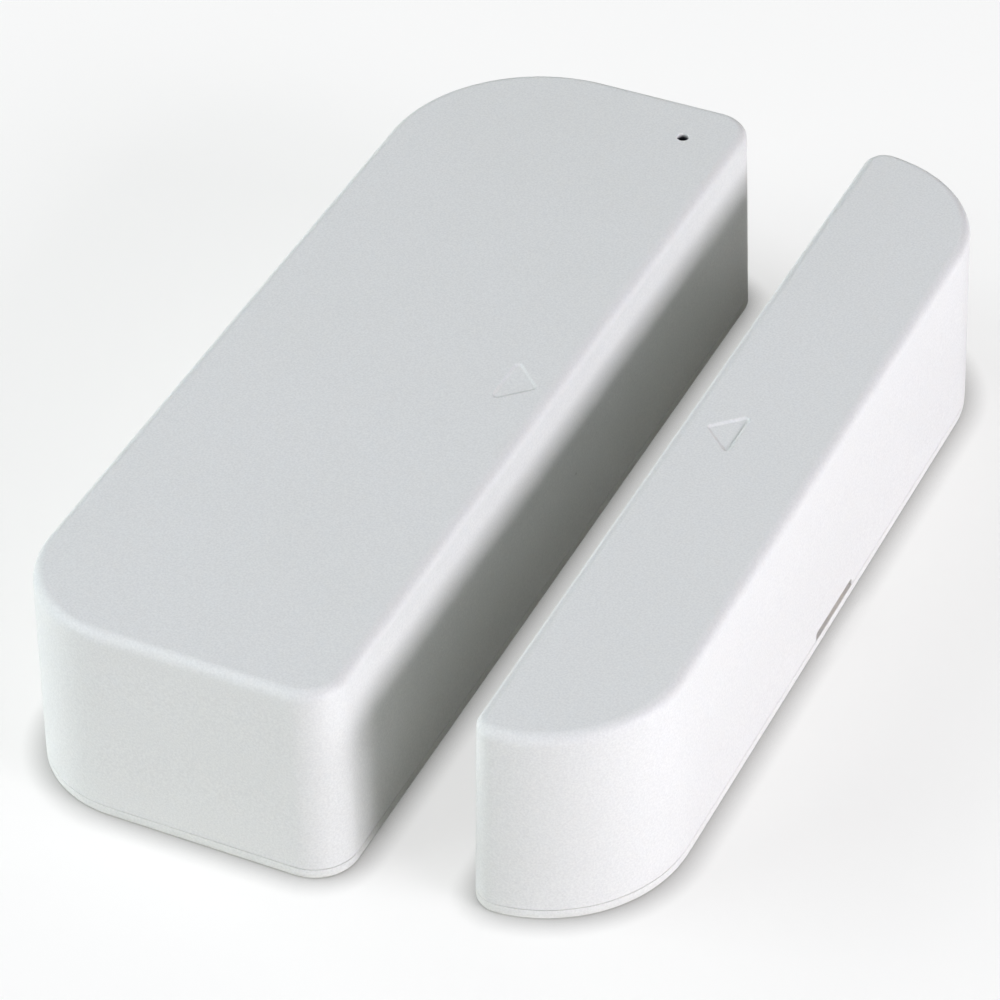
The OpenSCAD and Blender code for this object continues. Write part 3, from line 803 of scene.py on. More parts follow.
# ------------------------------------------------------------------ back plates
def back_plate(name, outline, height, body, node):
    foot, rim = lean(height, 0), lean(height, RIM)
    inset = -(WALL + SLACK)
    levels = ((foot - 0.34, 0.0), (foot - 0.12, 0.07), (foot - 0.02, 0.26),
              (rim + 0.010, 0.50), (rim + 0.002, RIM - 0.07), (rim - 0.02, RIM - 0.018),
              (rim - 0.07, RIM), (inset, RIM), (inset, DECK - 0.15), (inset - 0.15, DECK))
    rings = [level_ring(outline, grow, z) for grow, z in levels]
    return add_piece(name, loft(rings), "base_plastic", node, body)


def hole_bosses(radius, places):
    return [turned([(radius, 1.0), (radius, 3.0), (radius - 0.2, 3.2)], 48, x, y)
            for x, y in places]


def plate_holes(places, recesses):
    """Mounting holes, flared at both ends, and the recesses for the adhesive."""
    cuts = [turned([(2.45, -0.5), (2.45, 0.0), (2.0, 0.45), (2.0, 6.0)], 48, x, y)
            for x, y in places]
    cuts += [turned([(2.0, 1.8), (2.0, 2.2), (3.2, 2.75), (3.2, 3.6)], 48, x, y)
             for x, y in places]
    cuts += [slot_cutter((x0, y0, -1), (x1, y1, 0.6), 1.2) for x0, y0, x1, y1 in recesses]
    return cuts


def sensor_plate():
    plate = back_plate("back_plate", sensor_outline, SENSOR_TALL, "transmitter",
                       "sensor_base")
    places = [(-3, y) for y in (-36, 36)]
    half_x = SENSOR_WIDE / 2 - WALL - SLACK
    half_y = SENSOR_LONG / 2 - WALL - SLACK
    tab = 0.9                                 # thickness of the tabs along the edge
    # x0, y0, x1, y1, top
    tabs = ([(-half_x, y, -half_x + tab, y + 5.6, 7.2) for y in (-36, 26.6)]
            + [(half_x - tab, y, half_x, y + 12, 5.0) for y in (-27, 15)]
            + [(x, -half_y, x + 5, -half_y + tab, 5.0) for x in (-4, 6)]
            + [(0.5, half_y - tab, 10.5, half_y, 5.0)])
    screw_post = [(2.5, 1.4), (2.5, 2.3), (2.2, 2.6), (2.2, 5.85), (2.07, 5.98)]
    rest_post = [(1.5, 1.4), (1.5, 2.3), (1.2, 2.6), (1.2, 5.85), (1.08, 5.98)]
    adds = hole_bosses(4.0, places)
    adds += [solid(round_box((x0, y0, 1.4), (x1, y1, top), 0.15))
             for x0, y0, x1, y1, top in tabs]
    adds += [turned(screw_post, 32, x, y) for x, y in SCREWS]
    adds += [turned(rest_post, 24, 11.6, y) for y in (-22, 4)]
    cut(plate, adds, "UNION")
    cuts = plate_holes(places, SENSOR_RECESSES)
    cuts += [turned([(0.85, 1.0), (0.85, 7.0)], 24, x, y) for x, y in SCREWS]
    # shallow round marks on the underside
    dots = ((10.5, -36), (-11.5, -33.5), (10.5, 38.5), (-10.5, 33.5), (-6.5, 0), (6.5, 0))
    cuts += [turned([(1.70, -0.4), (1.70, 0.03), (1.62, 0.10)], 32, x, y) for x, y in dots]
    cut(plate, cuts)
    finish_mesh(plate)


def magnet_plate():
    plate = back_plate("magnet_back_plate", magnet_outline, MAGNET_TALL, "magnet_unit",
                       "magnet_base")
    places = [(BAR_X, MAGNET_Y + y) for y in (-31, 31)]
    side = MAGNET_RIGHT - WALL - SLACK
    # tabs along the right edge: y0, y1, top; then a tongue that reaches into the pry slot
    adds = hole_bosses(3.9, places)
    adds += [solid(round_box((side - 0.9, MAGNET_Y + y0, 1.4), (side, MAGNET_Y + y1, top),
                             0.15))
             for y0, y1, top in ((-18, -8, 5.0), (9, 19, 5.0), (-3.9, 5.9, 3.6))]
    adds.append(solid(round_box((side - 0.3, MAGNET_Y + 0.6, 1.3),
                                (side + 1.15, MAGNET_Y + 4.4, 1.82), 0.12, 0.3)))
    cut(plate, adds, "UNION")
    cuts = plate_holes(places, MAGNET_RECESSES)
    cuts += [turned([(1.35, -0.3), (1.35, -0.01), (1.24, 0.10)], 32,
                    BAR_X - 0.4, MAGNET_Y + y) for y in (-39.5, 39.5)]
    cut(plate, cuts)
    finish_mesh(plate)


# ------------------------------------------------------------------ adhesive pads
def tape(recess):
    """Foam that fills a recess with a little air around it, under a paper liner."""
    x0, y0, x1, y1 = recess
    air = 0.05
    x0, y0, x1, y1 = x0 + air, y0 + air, x1 - air, y1 - air
    pad = round_box((x0, y0, 0.09), (x1, y1, 0.55), 0.05, 1.1, 4)
    liner = round_box((x0 + 0.02, y0 + 0.02, 0.0), (x1 - 0.02, y1 - 0.02, 0.085),
                      0.02, 1.08, 4)
    return merge(pad, paint(liner, 1))


def tapes():
    materials = ["foam_tape", "liner_paper"]
    for node, recess in zip(("sensor_tape_near", "sensor_tape_far"), SENSOR_RECESSES):
        add_piece(node + "_pad", tape(recess), materials, node)
    add_piece("magnet_tape_pads", merge(*[tape(recess) for recess in MAGNET_RECESSES]),
              materials, "magnet_tape", "magnet_unit")


# ------------------------------------------------------------------ battery tray and cells
def battery_tray():
    shape = round_box((-14.1, -TRAY_HALF - 1.2, 2.25), (9.0, TRAY_HALF + 1.2, 11.15),
                      0.35, 0.8, 4)
    tray = add_piece("cell_tray", shape, "black_plastic", "battery_holder")
    bore = CELL_R + 0.1
    tools = [solid(lathe([(bore, -TRAY_HALF), (bore, TRAY_HALF)], 96, (x, 0, CELL_Z), "y"))
             for x in (LEFT_CELL_X, RIGHT_CELL_X)]
    tools.append(solid(round_box((-13.2, -TRAY_HALF, CELL_Z), (8.2, TRAY_HALF, 20), 0.05)))
    tools.append(dip_cutter(0, 0, half=16, low=8.2, radius=1.2, steps=6))
    # pockets at both ends for the springs and plates
    tools += [solid(round_box((-12.6, y0, 4.3), (7.6, y1, 20), 0.2))
              for y0, y1 in ((-TRAY_HALF, -19), (19, TRAY_HALF))]
    cut(tray, tools)
    # windows in the floor below each cell
    cut(tray, [slot_cutter((x - 1.6, -6, 1.0), (x + 1.6, 6, 6.0), 1.5)
               for x in (LEFT_CELL_X, RIGHT_CELL_X)])
    finish_mesh(tray)


# a cell from its flat end to its nub: material slot, then (radius, distance along the cell)
CELL_SECTIONS = (
    (0, [(0, 0.12), (2.6, 0.12), (3.0, 0.02), (4.1, 0.0), (4.3, 0.10), (4.45, 0.26)]),
    (1, [(4.35, 0.24), (4.5, 0.06), (4.85, 0.05), (5.12, 0.20), (CELL_R, 0.55),
         (CELL_R, 1.4), (CELL_R - 0.012, 1.45), (CELL_R, 1.5),
         (CELL_R, 8), (CELL_R, 16), (CELL_R, 24), (CELL_R, 32)]),
    (2, [(CELL_R, 34.6), (CELL_R, 42.4), (CELL_R, CELL_LONG - 0.75),
         (5.14, CELL_LONG - 0.28), (4.9, CELL_LONG - 0.10), (4.5, CELL_LONG - 0.06),
         (4.3, CELL_LONG - 0.16), (4.25, CELL_LONG - 0.3)]),
    (3, [(4.26, CELL_LONG - 0.26), (4.1, CELL_LONG - 0.20), (2.75, CELL_LONG - 0.20),
         (2.62, CELL_LONG - 0.26)]),
    (0, [(2.70, CELL_LONG - 0.24), (2.55, CELL_LONG - 0.12), (2.2, CELL_LONG - 0.06),
         (2.02, CELL_LONG + 0.02), (1.9, CELL_LONG + 0.18), (1.88, CELL_LONG + 0.62),
         (1.78, CELL_LONG + 0.76), (1.5, CELL_LONG + CELL_NUB), (0, CELL_LONG + CELL_NUB)]),
)


def cell(name, x, y, axis, node):
    """Dry cell: metal ends, sleeve rolled over both ends, plain band and black washer."""
    steps = 96
    profile = [point for _, points in CELL_SECTIONS for point in points]
    row_slots = [slot for slot, points in CELL_SECTIONS for _ in points]
    verts, faces = lathe(profile, steps, (x, y, CELL_Z), axis)
    # row 0 is a single point, every later row has a full ring
    slots = [row_slots[(min(face) - 1) // steps + 1] for face in faces]
    add_piece(name, (verts, faces, slots),
              ["zinc_steel", "cell_jacket", "cell_band", "black_plastic"],
              node, slot="cell_jacket", smooth=30)


def cells():
    flat_end = CONTACT - CLEAR - CELL_LONG - CELL_NUB
    cell("cell_left", LEFT_CELL_X, flat_end, "y", "battery_left")
    cell("cell_right", RIGHT_CELL_X, -flat_end, "-y", "battery_right")


# ------------------------------------------------------------------ battery contacts
def spring_path(x, y, direction):
    """Helix along y that narrows toward the cell, with closed end turns."""
    wide, narrow, wire, per_turn = 2.95, 2.0, 0.28, 26
    length = 2 * CONTACT - CELL_LONG - CELL_NUB - 4 * CLEAR
    turns, end_turns = 3.0, 0.8
    total = turns + 2 * end_turns
    low = wire + 1.025 * wire * end_turns
    high = length - wire - 1.025 * wire * end_turns
    steps = int(total * per_turn)
    path = []
    for i in range(steps + 1):
        turn = i / steps * total
        share = (turn - end_turns) / turns
        if turn < end_turns:
            along = wire + 1.025 * wire * turn
        elif turn > total - end_turns:
            along = length - wire - 1.025 * wire * (total - turn)
        else:
            along = low + (high - low) * share
        radius = wide + (narrow - wide) * min(max(share, 0), 1)
        angle = 2 * math.pi * turn
        path.append((x + radius * math.cos(angle), y + direction * along,
                     CELL_Z + radius * math.sin(angle)))
    return sweep(path, wire, 12)


def springs():
    end = -CONTACT + CLEAR
    add_piece("spring_left", spring_path(LEFT_CELL_X, end, 1), "nickel_steel",
              "battery_spring_left")
    add_piece("spring_right", spring_path(RIGHT_CELL_X, -end, -1), "nickel_steel",
              "battery_spring_right")


def bent_strip(path, x, half, thick):
    """Sheet bent along a centre line of (y, z) points, with its width in x."""
    outer, inner = [], []
    for i, (y, z) in enumerate(path):
        before, after = path[max(i - 1, 0)], path[min(i + 1, len(path) - 1)]
        dy, dz = after[0] - before[0], after[1] - before[1]
        length = math.hypot(dy, dz)
        off_y, off_z = dz / length * thick / 2, dy / length * thick / 2
        outer.append((y - off_y, z + off_z))
        inner.append((y + off_y, z - off_z))
    section = outer + inner[::-1]
    return loft([[(x + side * half, y, z) for y, z in section] for side in (-1, 1)])


def contact_plate(x0, x1, z0, z1, y0, y1):
    """Thin plate standing across y with rounded corners and softened faces."""
    soft = 0.05
    points = rounded_rect(x0, z0, x1, z1, 0.9, 5)
    mid_x, mid_z = (x0 + x1) / 2, (z0 + z1) / 2
    rings = []
    for y, inset in ((y0, soft), (y0 + soft, 0), (y1 - soft, 0), (y1, soft)):
        shrink_x, shrink_z = 1 - inset / (x1 - x0) * 2, 1 - inset / (z1 - z0) * 2
        rings.append([(mid_x + (x - mid_x) * shrink_x, y, mid_z + (z - mid_z) * shrink_z)
                      for x, z in points])
    return loft(rings)


def contacts():
    near = -TRAY_HALF + CLEAR
    bridge = merge(contact_plate(-12, 7, 4.6, 11.4, near, near + 0.3),
                   lathe([(2.3, 0.0), (2.2, 0.03), (1.5, 0.03), (1.3, 0.01)], 32,
                         (RIGHT_CELL_X, -CONTACT - 0.30, CELL_Z), "y"))
    add_piece("bridge_plate", bridge, "nickel_steel", "bridge_contact")
    # each tab rises behind the plate, crosses the tray's end wall and drops to the board
    path = ([(CONTACT + 0.15, 11.2)] + arc(CONTACT + 0.65, 11.25, 0.5, 180, 90, 5)
            + arc(CONTACT + 4.95, 11.25, 0.5, 90, 0, 5) + [(CONTACT + 5.45, 8.2)]
            + arc(CONTACT + 5.95, 7.87, 0.5, 180, 270, 5) + [(CONTACT + 6.85, 7.37)])
    for name, x, node in (("plus_tab", LEFT_CELL_X, "positive_contact"),
                          ("minus_tab", RIGHT_CELL_X, "negative_contact")):
        plate = contact_plate(x - 3.6, x + 3.6, 4.6, 11.75, CONTACT, CONTACT + 0.3)
        add_piece(name, merge(plate, bent_strip(path, x, half=1.2, thick=0.28)),
                  "nickel_steel", node)


# ------------------------------------------------------------------ circuit board
# x, y and rounding of each corner, counter-clockwise from the near left
BOARD_OUTLINE = (
    (2.6, -44.2, 0.8), (14.4, -44.2, 0.8), (14.4, 45.0, 0.8), (-3, 45.2, 1.2),
    (-9, 42.4, 1.5), (-12.9, 36.5, 1.5), (-13.2, 28.8, 0.8), (9.4, 28.8, 0.6),
    (9.4, -29.6, 0.6), (2.6, -29.6, 0.8),
)


def rounded_poly(corners, steps=6):
    """Polygon with each corner replaced by a quadratic curve."""
    points = [Vector((x, y)) for x, y, _ in corners]
    outline = []
    for i, (_, _, radius) in enumerate(corners):
        corner = points[i]
        back, ahead = points[i - 1] - corner, points[(i + 1) % len(points)] - corner
        to_back, to_ahead = back.normalized(), ahead.normalized()
        angle = math.acos(max(-1, min(1, to_back.dot(to_ahead))))
        reach = min(radius / math.tan(angle / 2), back.length * 0.45, ahead.length * 0.45)
        start, end = corner + to_back * reach, corner + to_ahead * reach
        for j in range(steps + 1):
            t = j / steps
            point = start * (1 - t) ** 2 + corner * 2 * t * (1 - t) + end * t * t
            outline.append((point.x, point.y))
    return outline


def circuit_board():
    outline = rounded_poly(BOARD_OUTLINE)
    shape = loft([[(x, y, z) for x, y in outline] for z in (BOARD_UNDER, BOARD_TOP)])
    board = add_piece("board", shape, "board_green", "circuit_board", smooth=30)
    # x, y, radius, steps: clearance for the mounting hole, screws, legs of the reed switch
    holes = ([(-3, 36, 4.6, 64)] + [(x, y, 1.15, 28) for x, y in SCREWS]
             + [(REED_X, y, 0.4, 20) for y in (-REED_LEG, REED_LEG)])
    cut(board, [turned([(radius, 4), (radius, 9)], steps, x, y)
                for x, y, radius, steps in holes])
    finish_mesh(board, 30)


def track(points, width=0.34, top=0.028):
    """Flat track along a path with mitred turns."""
    legs = [Vector((b[0] - a[0], b[1] - a[1])).normalized()
            for a, b in zip(points, points[1:])]
    left, right = [], []
    for i, (x, y) in enumerate(points):
        arriving, leaving = legs[max(i - 1, 0)], legs[min(i, len(legs) - 1)]
        along = (arriving + leaving).normalized()
        side = Vector((-along.y, along.x))
        square = abs(side.dot(Vector((-arriving.y, arriving.x))))
        reach = (width / 2) / max(0.5, square)
        left.append((x + side.x * reach, y + side.y * reach))
        right.append((x - side.x * reach, y - side.y * reach))
    outline = right + left[::-1]
    return loft([[(x, y, z) for x, y in outline] for z in (COPPER_FOOT, BOARD_TOP + top)])


def pad(x, y, wide, long, top=0.04, corner=0.08):
    return board_box(x, y, wide / 2, long / 2, COPPER_FOOT - BOARD_TOP, top,
                     0.015, corner, 2, True)


def ring_pad(x, y, outer, inner, top, steps):
    section = ((outer, COPPER_FOOT), (outer, BOARD_TOP + top),
               (inner, BOARD_TOP + top), (inner, COPPER_FOOT))
    return loft([[(x + dx, y + dy, z) for dx, dy in circle(radius, steps)]
                 for radius, z in section], close=True)


# width and path of each track
TRACKS = (
    (0.34, [(13.7, -28.6), (13.7, -12), (13.2, -11), (12.7, -10.2)]),
    (0.30, [(12.1, -9.2), (11.0, -8.2), (11.0, 8.2), (12.1, 9.2)]),
    (0.34, [(12.1, 10.0), (13.5, 11.4), (13.5, 27.0), (13.9, 28.0), (13.9, 36.6),
            (13.2, 38.4)]),
    (0.34, [(7.6, 39.6), (9.2, 39.6), (9.9, 40.3), (9.9, 41.0)]),
    (0.28, [(7.6, 41.1), (8.6, 41.1), (9.3, 41.5)]),
    (0.34, [(2.0, 40.2), (1.0, 40.2), (0.3, 41.0)]),
    (0.30, [(2.0, 42.6), (0.6, 42.6)]),
    (0.30, [(-6.2, 39.9), (-7.2, 39.0), (-8.1, 37.8), (-8.1, 36.3)]),
    (0.30, [(3.2, 38.9), (3.2, 33.5), (5.2, 33.5)]),
    (0.30, [(4.4, 38.9), (4.4, 34.9), (5.2, 34.3)]),
    (0.30, [(8.0, 29.4), (8.0, 24.0), (9.8, 22.2)]),
    (0.90, [(LEFT_CELL_X, 31.3), (LEFT_CELL_X, 33.8), (-9.4, 34.4)]),
    (0.90, [(RIGHT_CELL_X, 31.3), (RIGHT_CELL_X, 33.0), (4.9, 33.0)]),
    (0.34, [(8.2, -40.9), (7.2, -40.0), (7.2, -36.0), (6.6, -35.4)]),
    (0.34, [(9.0, -35.4), (9.0, -32.8), (9.5, -31.4)]),
    (0.30, [(4.0, -35.4), (4.0, -38.8), (4.4, -39.4)]),
    (0.34, [(13.4, -35.4), (13.4, -33.6)]),
)


def board_tracks():
    shapes = []
    for i in range(2):                        # the pair down the long leg
        x = 9.95 + i * 0.62
        shapes.append(track([(x, -27.5 + i), (x, -6 + i), (x + 0.1, 0), (x, 6 + i),
                             (x, 22 - i)]))
    shapes += [track(points, width) for width, points in TRACKS]
    add_piece("board_tracks", merge(*shapes), "trace_green", slot="board_green")


# printed rectangles: x0, y0, x1, y1
PRINT_BOXES = ((1.7, 38.6, 7.9, 44.7), (-5.0, 41.0, 0.6, 44.6), (9.0, 39.9, 12.7, 43.1),
               (7.0, -42.0, 13.8, -35.2), (3.0, -35.7, 8.3, -30.3), (9.6, -11.4, 13.9, 11.4))


def board_print():
    line, top = 0.16, 0.018
    paths = []
    for x0, y0, x1, y1 in PRINT_BOXES:
        corners = [(x0, y0), (x1, y0), (x1, y1), (x0, y1), (x0, y0)]
        paths += [list(side) for side in zip(corners, corners[1:])]
    shapes = [track(path, line, top) for path in paths]
    shapes += [ring_pad(x, y, radius + line / 2, radius - line / 2, top, 48)
               for (x, y), radius in ((CAPACITOR, 2.55), (ANTENNA, 2.35))]
    # minus strokes beside both battery tabs; an upright one makes the left a plus
    plus_x, minus_x = LEFT_CELL_X - 2.2, RIGHT_CELL_X + 2.2
    shapes += [track([(x - 0.5, 31.6), (x + 0.5, 31.6)], line, top)
               for x in (plus_x, minus_x)]
    shapes.append(track([(plus_x, 31.1), (plus_x, 32.1)], line, top))
    add_piece("board_print", merge(*shapes), "silk_white", slot="board_green")


def solder_cone(x, y, radius, height, wire=0.25):
    """Solder fillet round a wire."""
    profile = [(radius, -0.01), (radius * 0.98, 0.05), (radius * 0.72, height * 0.22),
               (radius * 0.5, height * 0.5), (max(wire * 1.15, radius * 0.36), height * 0.8),
               (wire * 1.02, height), (wire * 0.5, height + 0.02)]
    return lathe(profile, 24, (x, y, BOARD_TOP))


# pads mirrored about a part's middle: middle, offset x, offset y, width, length
PAD_SETS = (
    (LIGHT, 1.75, 0, 0.8, 1.5), (CRYSTAL, 2.2, 0, 1.0, 2.2), (SHIELD, 4.15, 2.2, 0.5, 1.2),
    (CAPACITOR, 0, 2.45, 1.0, 1.1), (TAMPER, 3.35, 2.2, 0.9, 0.9),
    (LEARN, 2.65, 1.6, 0.9, 0.8),
)
RING_PADS = ((-8.1, 36.1), (10.4, -27.2), (13.7, -28.4), (4.9, 33.0), (8.4, -30.4),
             (12.5, 28.3))
ROUND_PADS = ((10.6, 1.2), (10.6, 3.4), (10.6, -1.2), (-11.3, 30.6), (-8.8, 38.2),
              (12.9, 31.2), (12.9, 33.4))


def board_solder():
    joints = [solder_cone(REED_X, y, 0.95, 0.85) for y in (-REED_LEG, REED_LEG)]
    tab_places = (LEFT_CELL_X, RIGHT_CELL_X)
    joints += [pad(x, 30.85, 3.4, 2.2, 0.05, 0.3) for x in tab_places]
    joints += [round_box((x - 1.45, 30.0, BOARD_TOP), (x + 1.45, 31.75, BOARD_TOP + 0.16),
                         0.12, 0.5, 3, True) for x in tab_places]
    for (x, y), off_x, off_y, wide, long in PAD_SETS:
        for dx in ((-off_x, off_x) if off_x else (0,)):
            for dy in ((-off_y, off_y) if off_y else (0,)):
                joints.append(pad(x + dx, y + dy, wide, long))
    joints += [ring_pad(x, y, 1.75, 1.16, 0.03, 32) for x, y in SCREWS]
    joints += [paint(ring_pad(x, y, 0.42, 0.18, 0.03, 20), 1) for x, y in RING_PADS]
    joints += [paint(pad(x, y, 1.1, 1.1, 0.03, 0.5), 1) for x, y in ROUND_PADS]
    add_piece("board_solder", merge(*joints), ["solder", "gold_pad"], slot="board_green")


# ------------------------------------------------------------------ board screws
def screw(x, y):
    profile = [(0.0, 3.0), (0.25, 3.0), (0.62, 3.45)]
    for i in range(8):                        # threads
        z = 3.6 + 0.42 * i
        profile += [(0.66, z), (0.84, z + 0.16), (0.66, z + 0.32)]
    profile.append((0.75, 6.95))
    head = [(0.78, 0.02), (1.70, 0.02), (1.80, 0.12), (1.80, 0.55), (1.72, 0.82),
            (1.50, 1.05), (1.10, 1.22), (0.6, 1.30), (0.0, 1.32)]
    profile += [(radius, BOARD_TOP + z) for radius, z in head]
    return lathe(profile, 40, (x, y, 0))


def board_screws():
    screws = add_piece("board_screws", merge(*[screw(x, y) for x, y in SCREWS]),
                       "zinc_steel", "pcb_screws")
    # two flared slots cross in each head: half length, half width, height
    levels = ((0.35, 0.12, 0.42), (1.0, 0.22, 1.10), (1.12, 0.26, 1.6))
    slot = loft([[(sx * long, sy * wide, BOARD_TOP + z)
                  for sx, sy in ((-1, -1), (1, -1), (1, 1), (-1, 1))]
                 for long, wide, z in levels])
    cut(screws, [swung(slot, x, y, math.radians(20 + 37 * i) + quarter)
                 for i, (x, y) in enumerate(SCREWS) for quarter in (0, math.pi / 2)])
    finish_mesh(screws, 30)


# ------------------------------------------------------------------ reed switch
# glass wall, outside then back along the inside: radius, y
REED_GLASS = (
    (0.31, -7.0), (0.55, -7.0), (0.86, -6.86), (1.10, -6.55), (1.22, -6.0), (1.25, -5.3),
    (1.25, 5.3), (1.22, 6.0), (1.10, 6.55), (0.86, 6.86), (0.55, 7.0), (0.31, 7.0),
    (0.31, 5.6), (0.5, 5.25), (0.8, 4.95), (0.95, 4.4),
    (0.95, -4.4), (0.8, -4.95), (0.5, -5.25), (0.31, -5.6),
)


def blade(y0, y1, z0, z1):
    return round_box((REED_X - 0.55, y0, z0), (REED_X + 0.55, y1, z1), 0.04, 0.25, 3)


def reed_lead(side, inner):
    """Wire from the board up through a bend and into the glass; side is -1 for near."""
    bend = 0.85
    path = [(5.4, REED_LEG), (7.9, REED_LEG)]           # z, distance from the middle
    for degrees in range(10, 91, 16):
        turn = math.radians(degrees)
        path.append((8.05 + bend * math.sin(turn), REED_LEG - bend * (1 - math.cos(turn))))
    path += [(REED_Z, 8.3), (REED_Z, 7.9), (REED_Z, inner)]
    return sweep([(REED_X, side * y, z) for z, y in path], 0.25)


def reed_switch():
    glass = loft([[(REED_X + dx, y, REED_Z + dz) for dx, dz in circle(radius, 40)]
                  for radius, y in REED_GLASS], close=True)
    add_piece("reed_tube", glass, "reed_glass", "reed_glass", smooth=40)
    near = merge(reed_lead(-1, 5.0), blade(-5.15, 0.8, REED_Z - 0.21, REED_Z - 0.01))
    add_piece("reed_wire_near", near, "reed_metal", "reed_lead_near")
    add_piece("reed_wire_far", reed_lead(1, 5.3), "reed_metal", "reed_lead_far")
    add_piece("reed_strip", blade(-0.8, 5.1, REED_Z + 0.01, REED_Z + 0.21), "reed_metal",
              "reed_blade", "reed")


# ------------------------------------------------------------------ indicator, light pipe
def indicator():
    x, y = LIGHT
    dome = [(0.95, 0.79), (0.93, 0.95), (0.82, 1.12), (0.6, 1.24), (0.3, 1.295), (0, 1.31)]
    ends = [paint(board_box(x + side * 1.35, y, 0.25, 0.8, 0.02, 0.5, 0.05, 0.08, 2), 1)
            for side in (-1, 1)]
    shape = merge(board_box(x, y, 1.3, 1.2, 0.02, 0.8, 0.08, 0.12), *ends,
                  lathe(dome, 32, (x, y, BOARD_TOP)))
    add_piece("indicator", shape, ["led_lens", "gold_pad"], "status_led")
    rod = [(0, 9.0), (0.9, 9.0), (1.25, 9.06), (1.42, 9.25), (1.45, 9.5), (1.45, 19.9),
           (1.40, 20.2), (1.2, 20.33), (0, 20.35)]
    add_piece("light_rod", lathe(rod, 48, (x, y, 0)), "clear_plastic", "light_pipe", "cover")


# ------------------------------------------------------------------ parts on the board
def chip_pin(x, y, direction):
    """Flat pin that leaves a chip's side along y and drops to the board."""
    half, thick = 0.17, 0.10
    path = [(0.0, 0.42), (0.16, 0.42), (0.26, 0.30), (0.30, 0.12), (0.42, 0.06), (0.66, 0.06)]
    section = ([(out, z + thick / 2) for out, z in path]
               + [(out, z - thick / 2) for out, z in path][::-1])
    return loft([[(x + side, y + direction * out, BOARD_TOP + z) for out, z in section]
                 for side in (-half, half)])


def controller():
    x0, y0, size = 2.3, 39.2, 5.0
    dimple = turned([(0.36, 0.83), (0.40, 1.1)], 24, 3.1, 43.4, BOARD_TOP)
    parts = [carved(board_box(x0 + size / 2, y0 + size / 2, size / 2, size / 2,
                              0.06, 0.91, 0.10, 0.14), [dimple])]
    for i in range(6):
        x = x0 + 0.62 + i * 0.752
        parts.append(paint(chip_pin(x, y0 + 0.02, -1), 1))
        parts.append(paint(chip_pin(x, y0 + size - 0.02, 1), 1))
    add_piece("controller", merge(*parts), ["chip_black", "solder"], "microcontroller")


def radio_shield():
    x, y = SHIELD
    can = add_piece("screen_can", board_box(x, y, 4.0, 3.7, 0.02, 2.21, 0.28, 0.5, 4, True),
                    "shield_metal", "radio_shield")
    tools = [solid(board_box(x, y, 3.75, 3.45, -1, 1.96, 0.1, 0.3))]
    tools += [turned([(0.4, 1), (0.4, 4)], 24, x + dx, y, BOARD_TOP) for dx in (-2, 0, 2)]
    # notches in the foot of the near and far walls
    tools += [slot_cutter((x0, y0, BOARD_TOP - 0.5), (x0 + 1.0, y0 + 1.2, BOARD_TOP + 0.45),
                          0.15) for y0 in (29.0, 36.4) for x0 in (7.0, 10.8)]
    cut(can, tools)
    finish_mesh(can)


def crystal():
    shape = merge(board_box(*CRYSTAL, 2.4, 1.4, 0.02, 0.32, 0.06, 1.0, 5),
                  board_box(*CRYSTAL, 2.1, 1.1, 0.25, 1.21, 0.22, 0.9, 5))
    add_piece("crystal_can", shape, "shield_metal", "crystal")


def antenna():
    """Upright helix with its foot soldered to the board."""
    x, y = ANTENNA
    radius, turns, per_turn, pitch, wire, start = 1.7, 7.5, 28, 1.22, 0.29, 0.9
    path = [(x + radius, y, BOARD_TOP + 0.04), (x + radius, y, BOARD_TOP + start)]
    for i in range(1, int(turns * per_turn) + 1):
        turn = i / per_turn
        path.append((x + radius * math.cos(2 * math.pi * turn),
                     y + radius * math.sin(2 * math.pi * turn),
                     BOARD_TOP + start + turn * pitch))
    foot = solder_cone(x + radius, y, 0.8, 0.6, wire)
    add_piece("antenna_helix", merge(sweep(path, wire), paint(foot, 1)),
              ["copper_wire", "solder"], "antenna_coil")


def capacitor():
    """Grooved can on a plastic foot with two cut corners; a stripe runs up its left side."""
    x, y = CAPACITOR
    foot = [(-2.1, -2.1), (1.5, -2.1), (2.1, -1.5), (2.1, 1.5), (1.5, 2.1), (-2.1, 2.1)]
    can = [(1.7, 0.5), (1.92, 0.62), (2.0, 0.8), (2.0, 1.25), (1.86, 1.42), (1.86, 1.56),
           (2.0, 1.75), (2.0, 4.9), (1.9, 5.22), (1.7, 5.36), (1.55, 5.38), (1.45, 5.34),
           (0, 5.34)]
    score = board_box(0, 0, 1.3, 0.06, 5.26, 6, 0.02)
    scores = [swung(score, x, y, math.radians(angle + 15)) for angle in (0, 60, 120)]
    base = loft([[(x + dx, y + dy, BOARD_TOP + z) for dx, dy in foot] for z in (0.02, 0.62)])
    shape = merge(carved(lathe(can, 56, (x, y, BOARD_TOP)), scores), paint(base, 1))
    item = add_piece("capacitor_can", shape, ["capacitor_can", "black_plastic", "cap_stripe"],
                     "capacitor")
    for face in item.data.polygons:
        middle = face.center / MM
        on_wall = math.hypot(middle.x - x, middle.y - y) > 1.9
        if (face.material_index == 0 and on_wall and middle.z > BOARD_TOP + 1.7
                and middle.x - x < -1.3):
            face.material_index = 2


CHIPS = ((10.4, -24.5), (10.4, -20.5), (12.8, -17), (10.4, -13.6), (10.4, 12.4),
         (12.8, 14.6), (10.4, 17), (8, 38.2), (12.6, 38.4), (-4.6, 30.4))


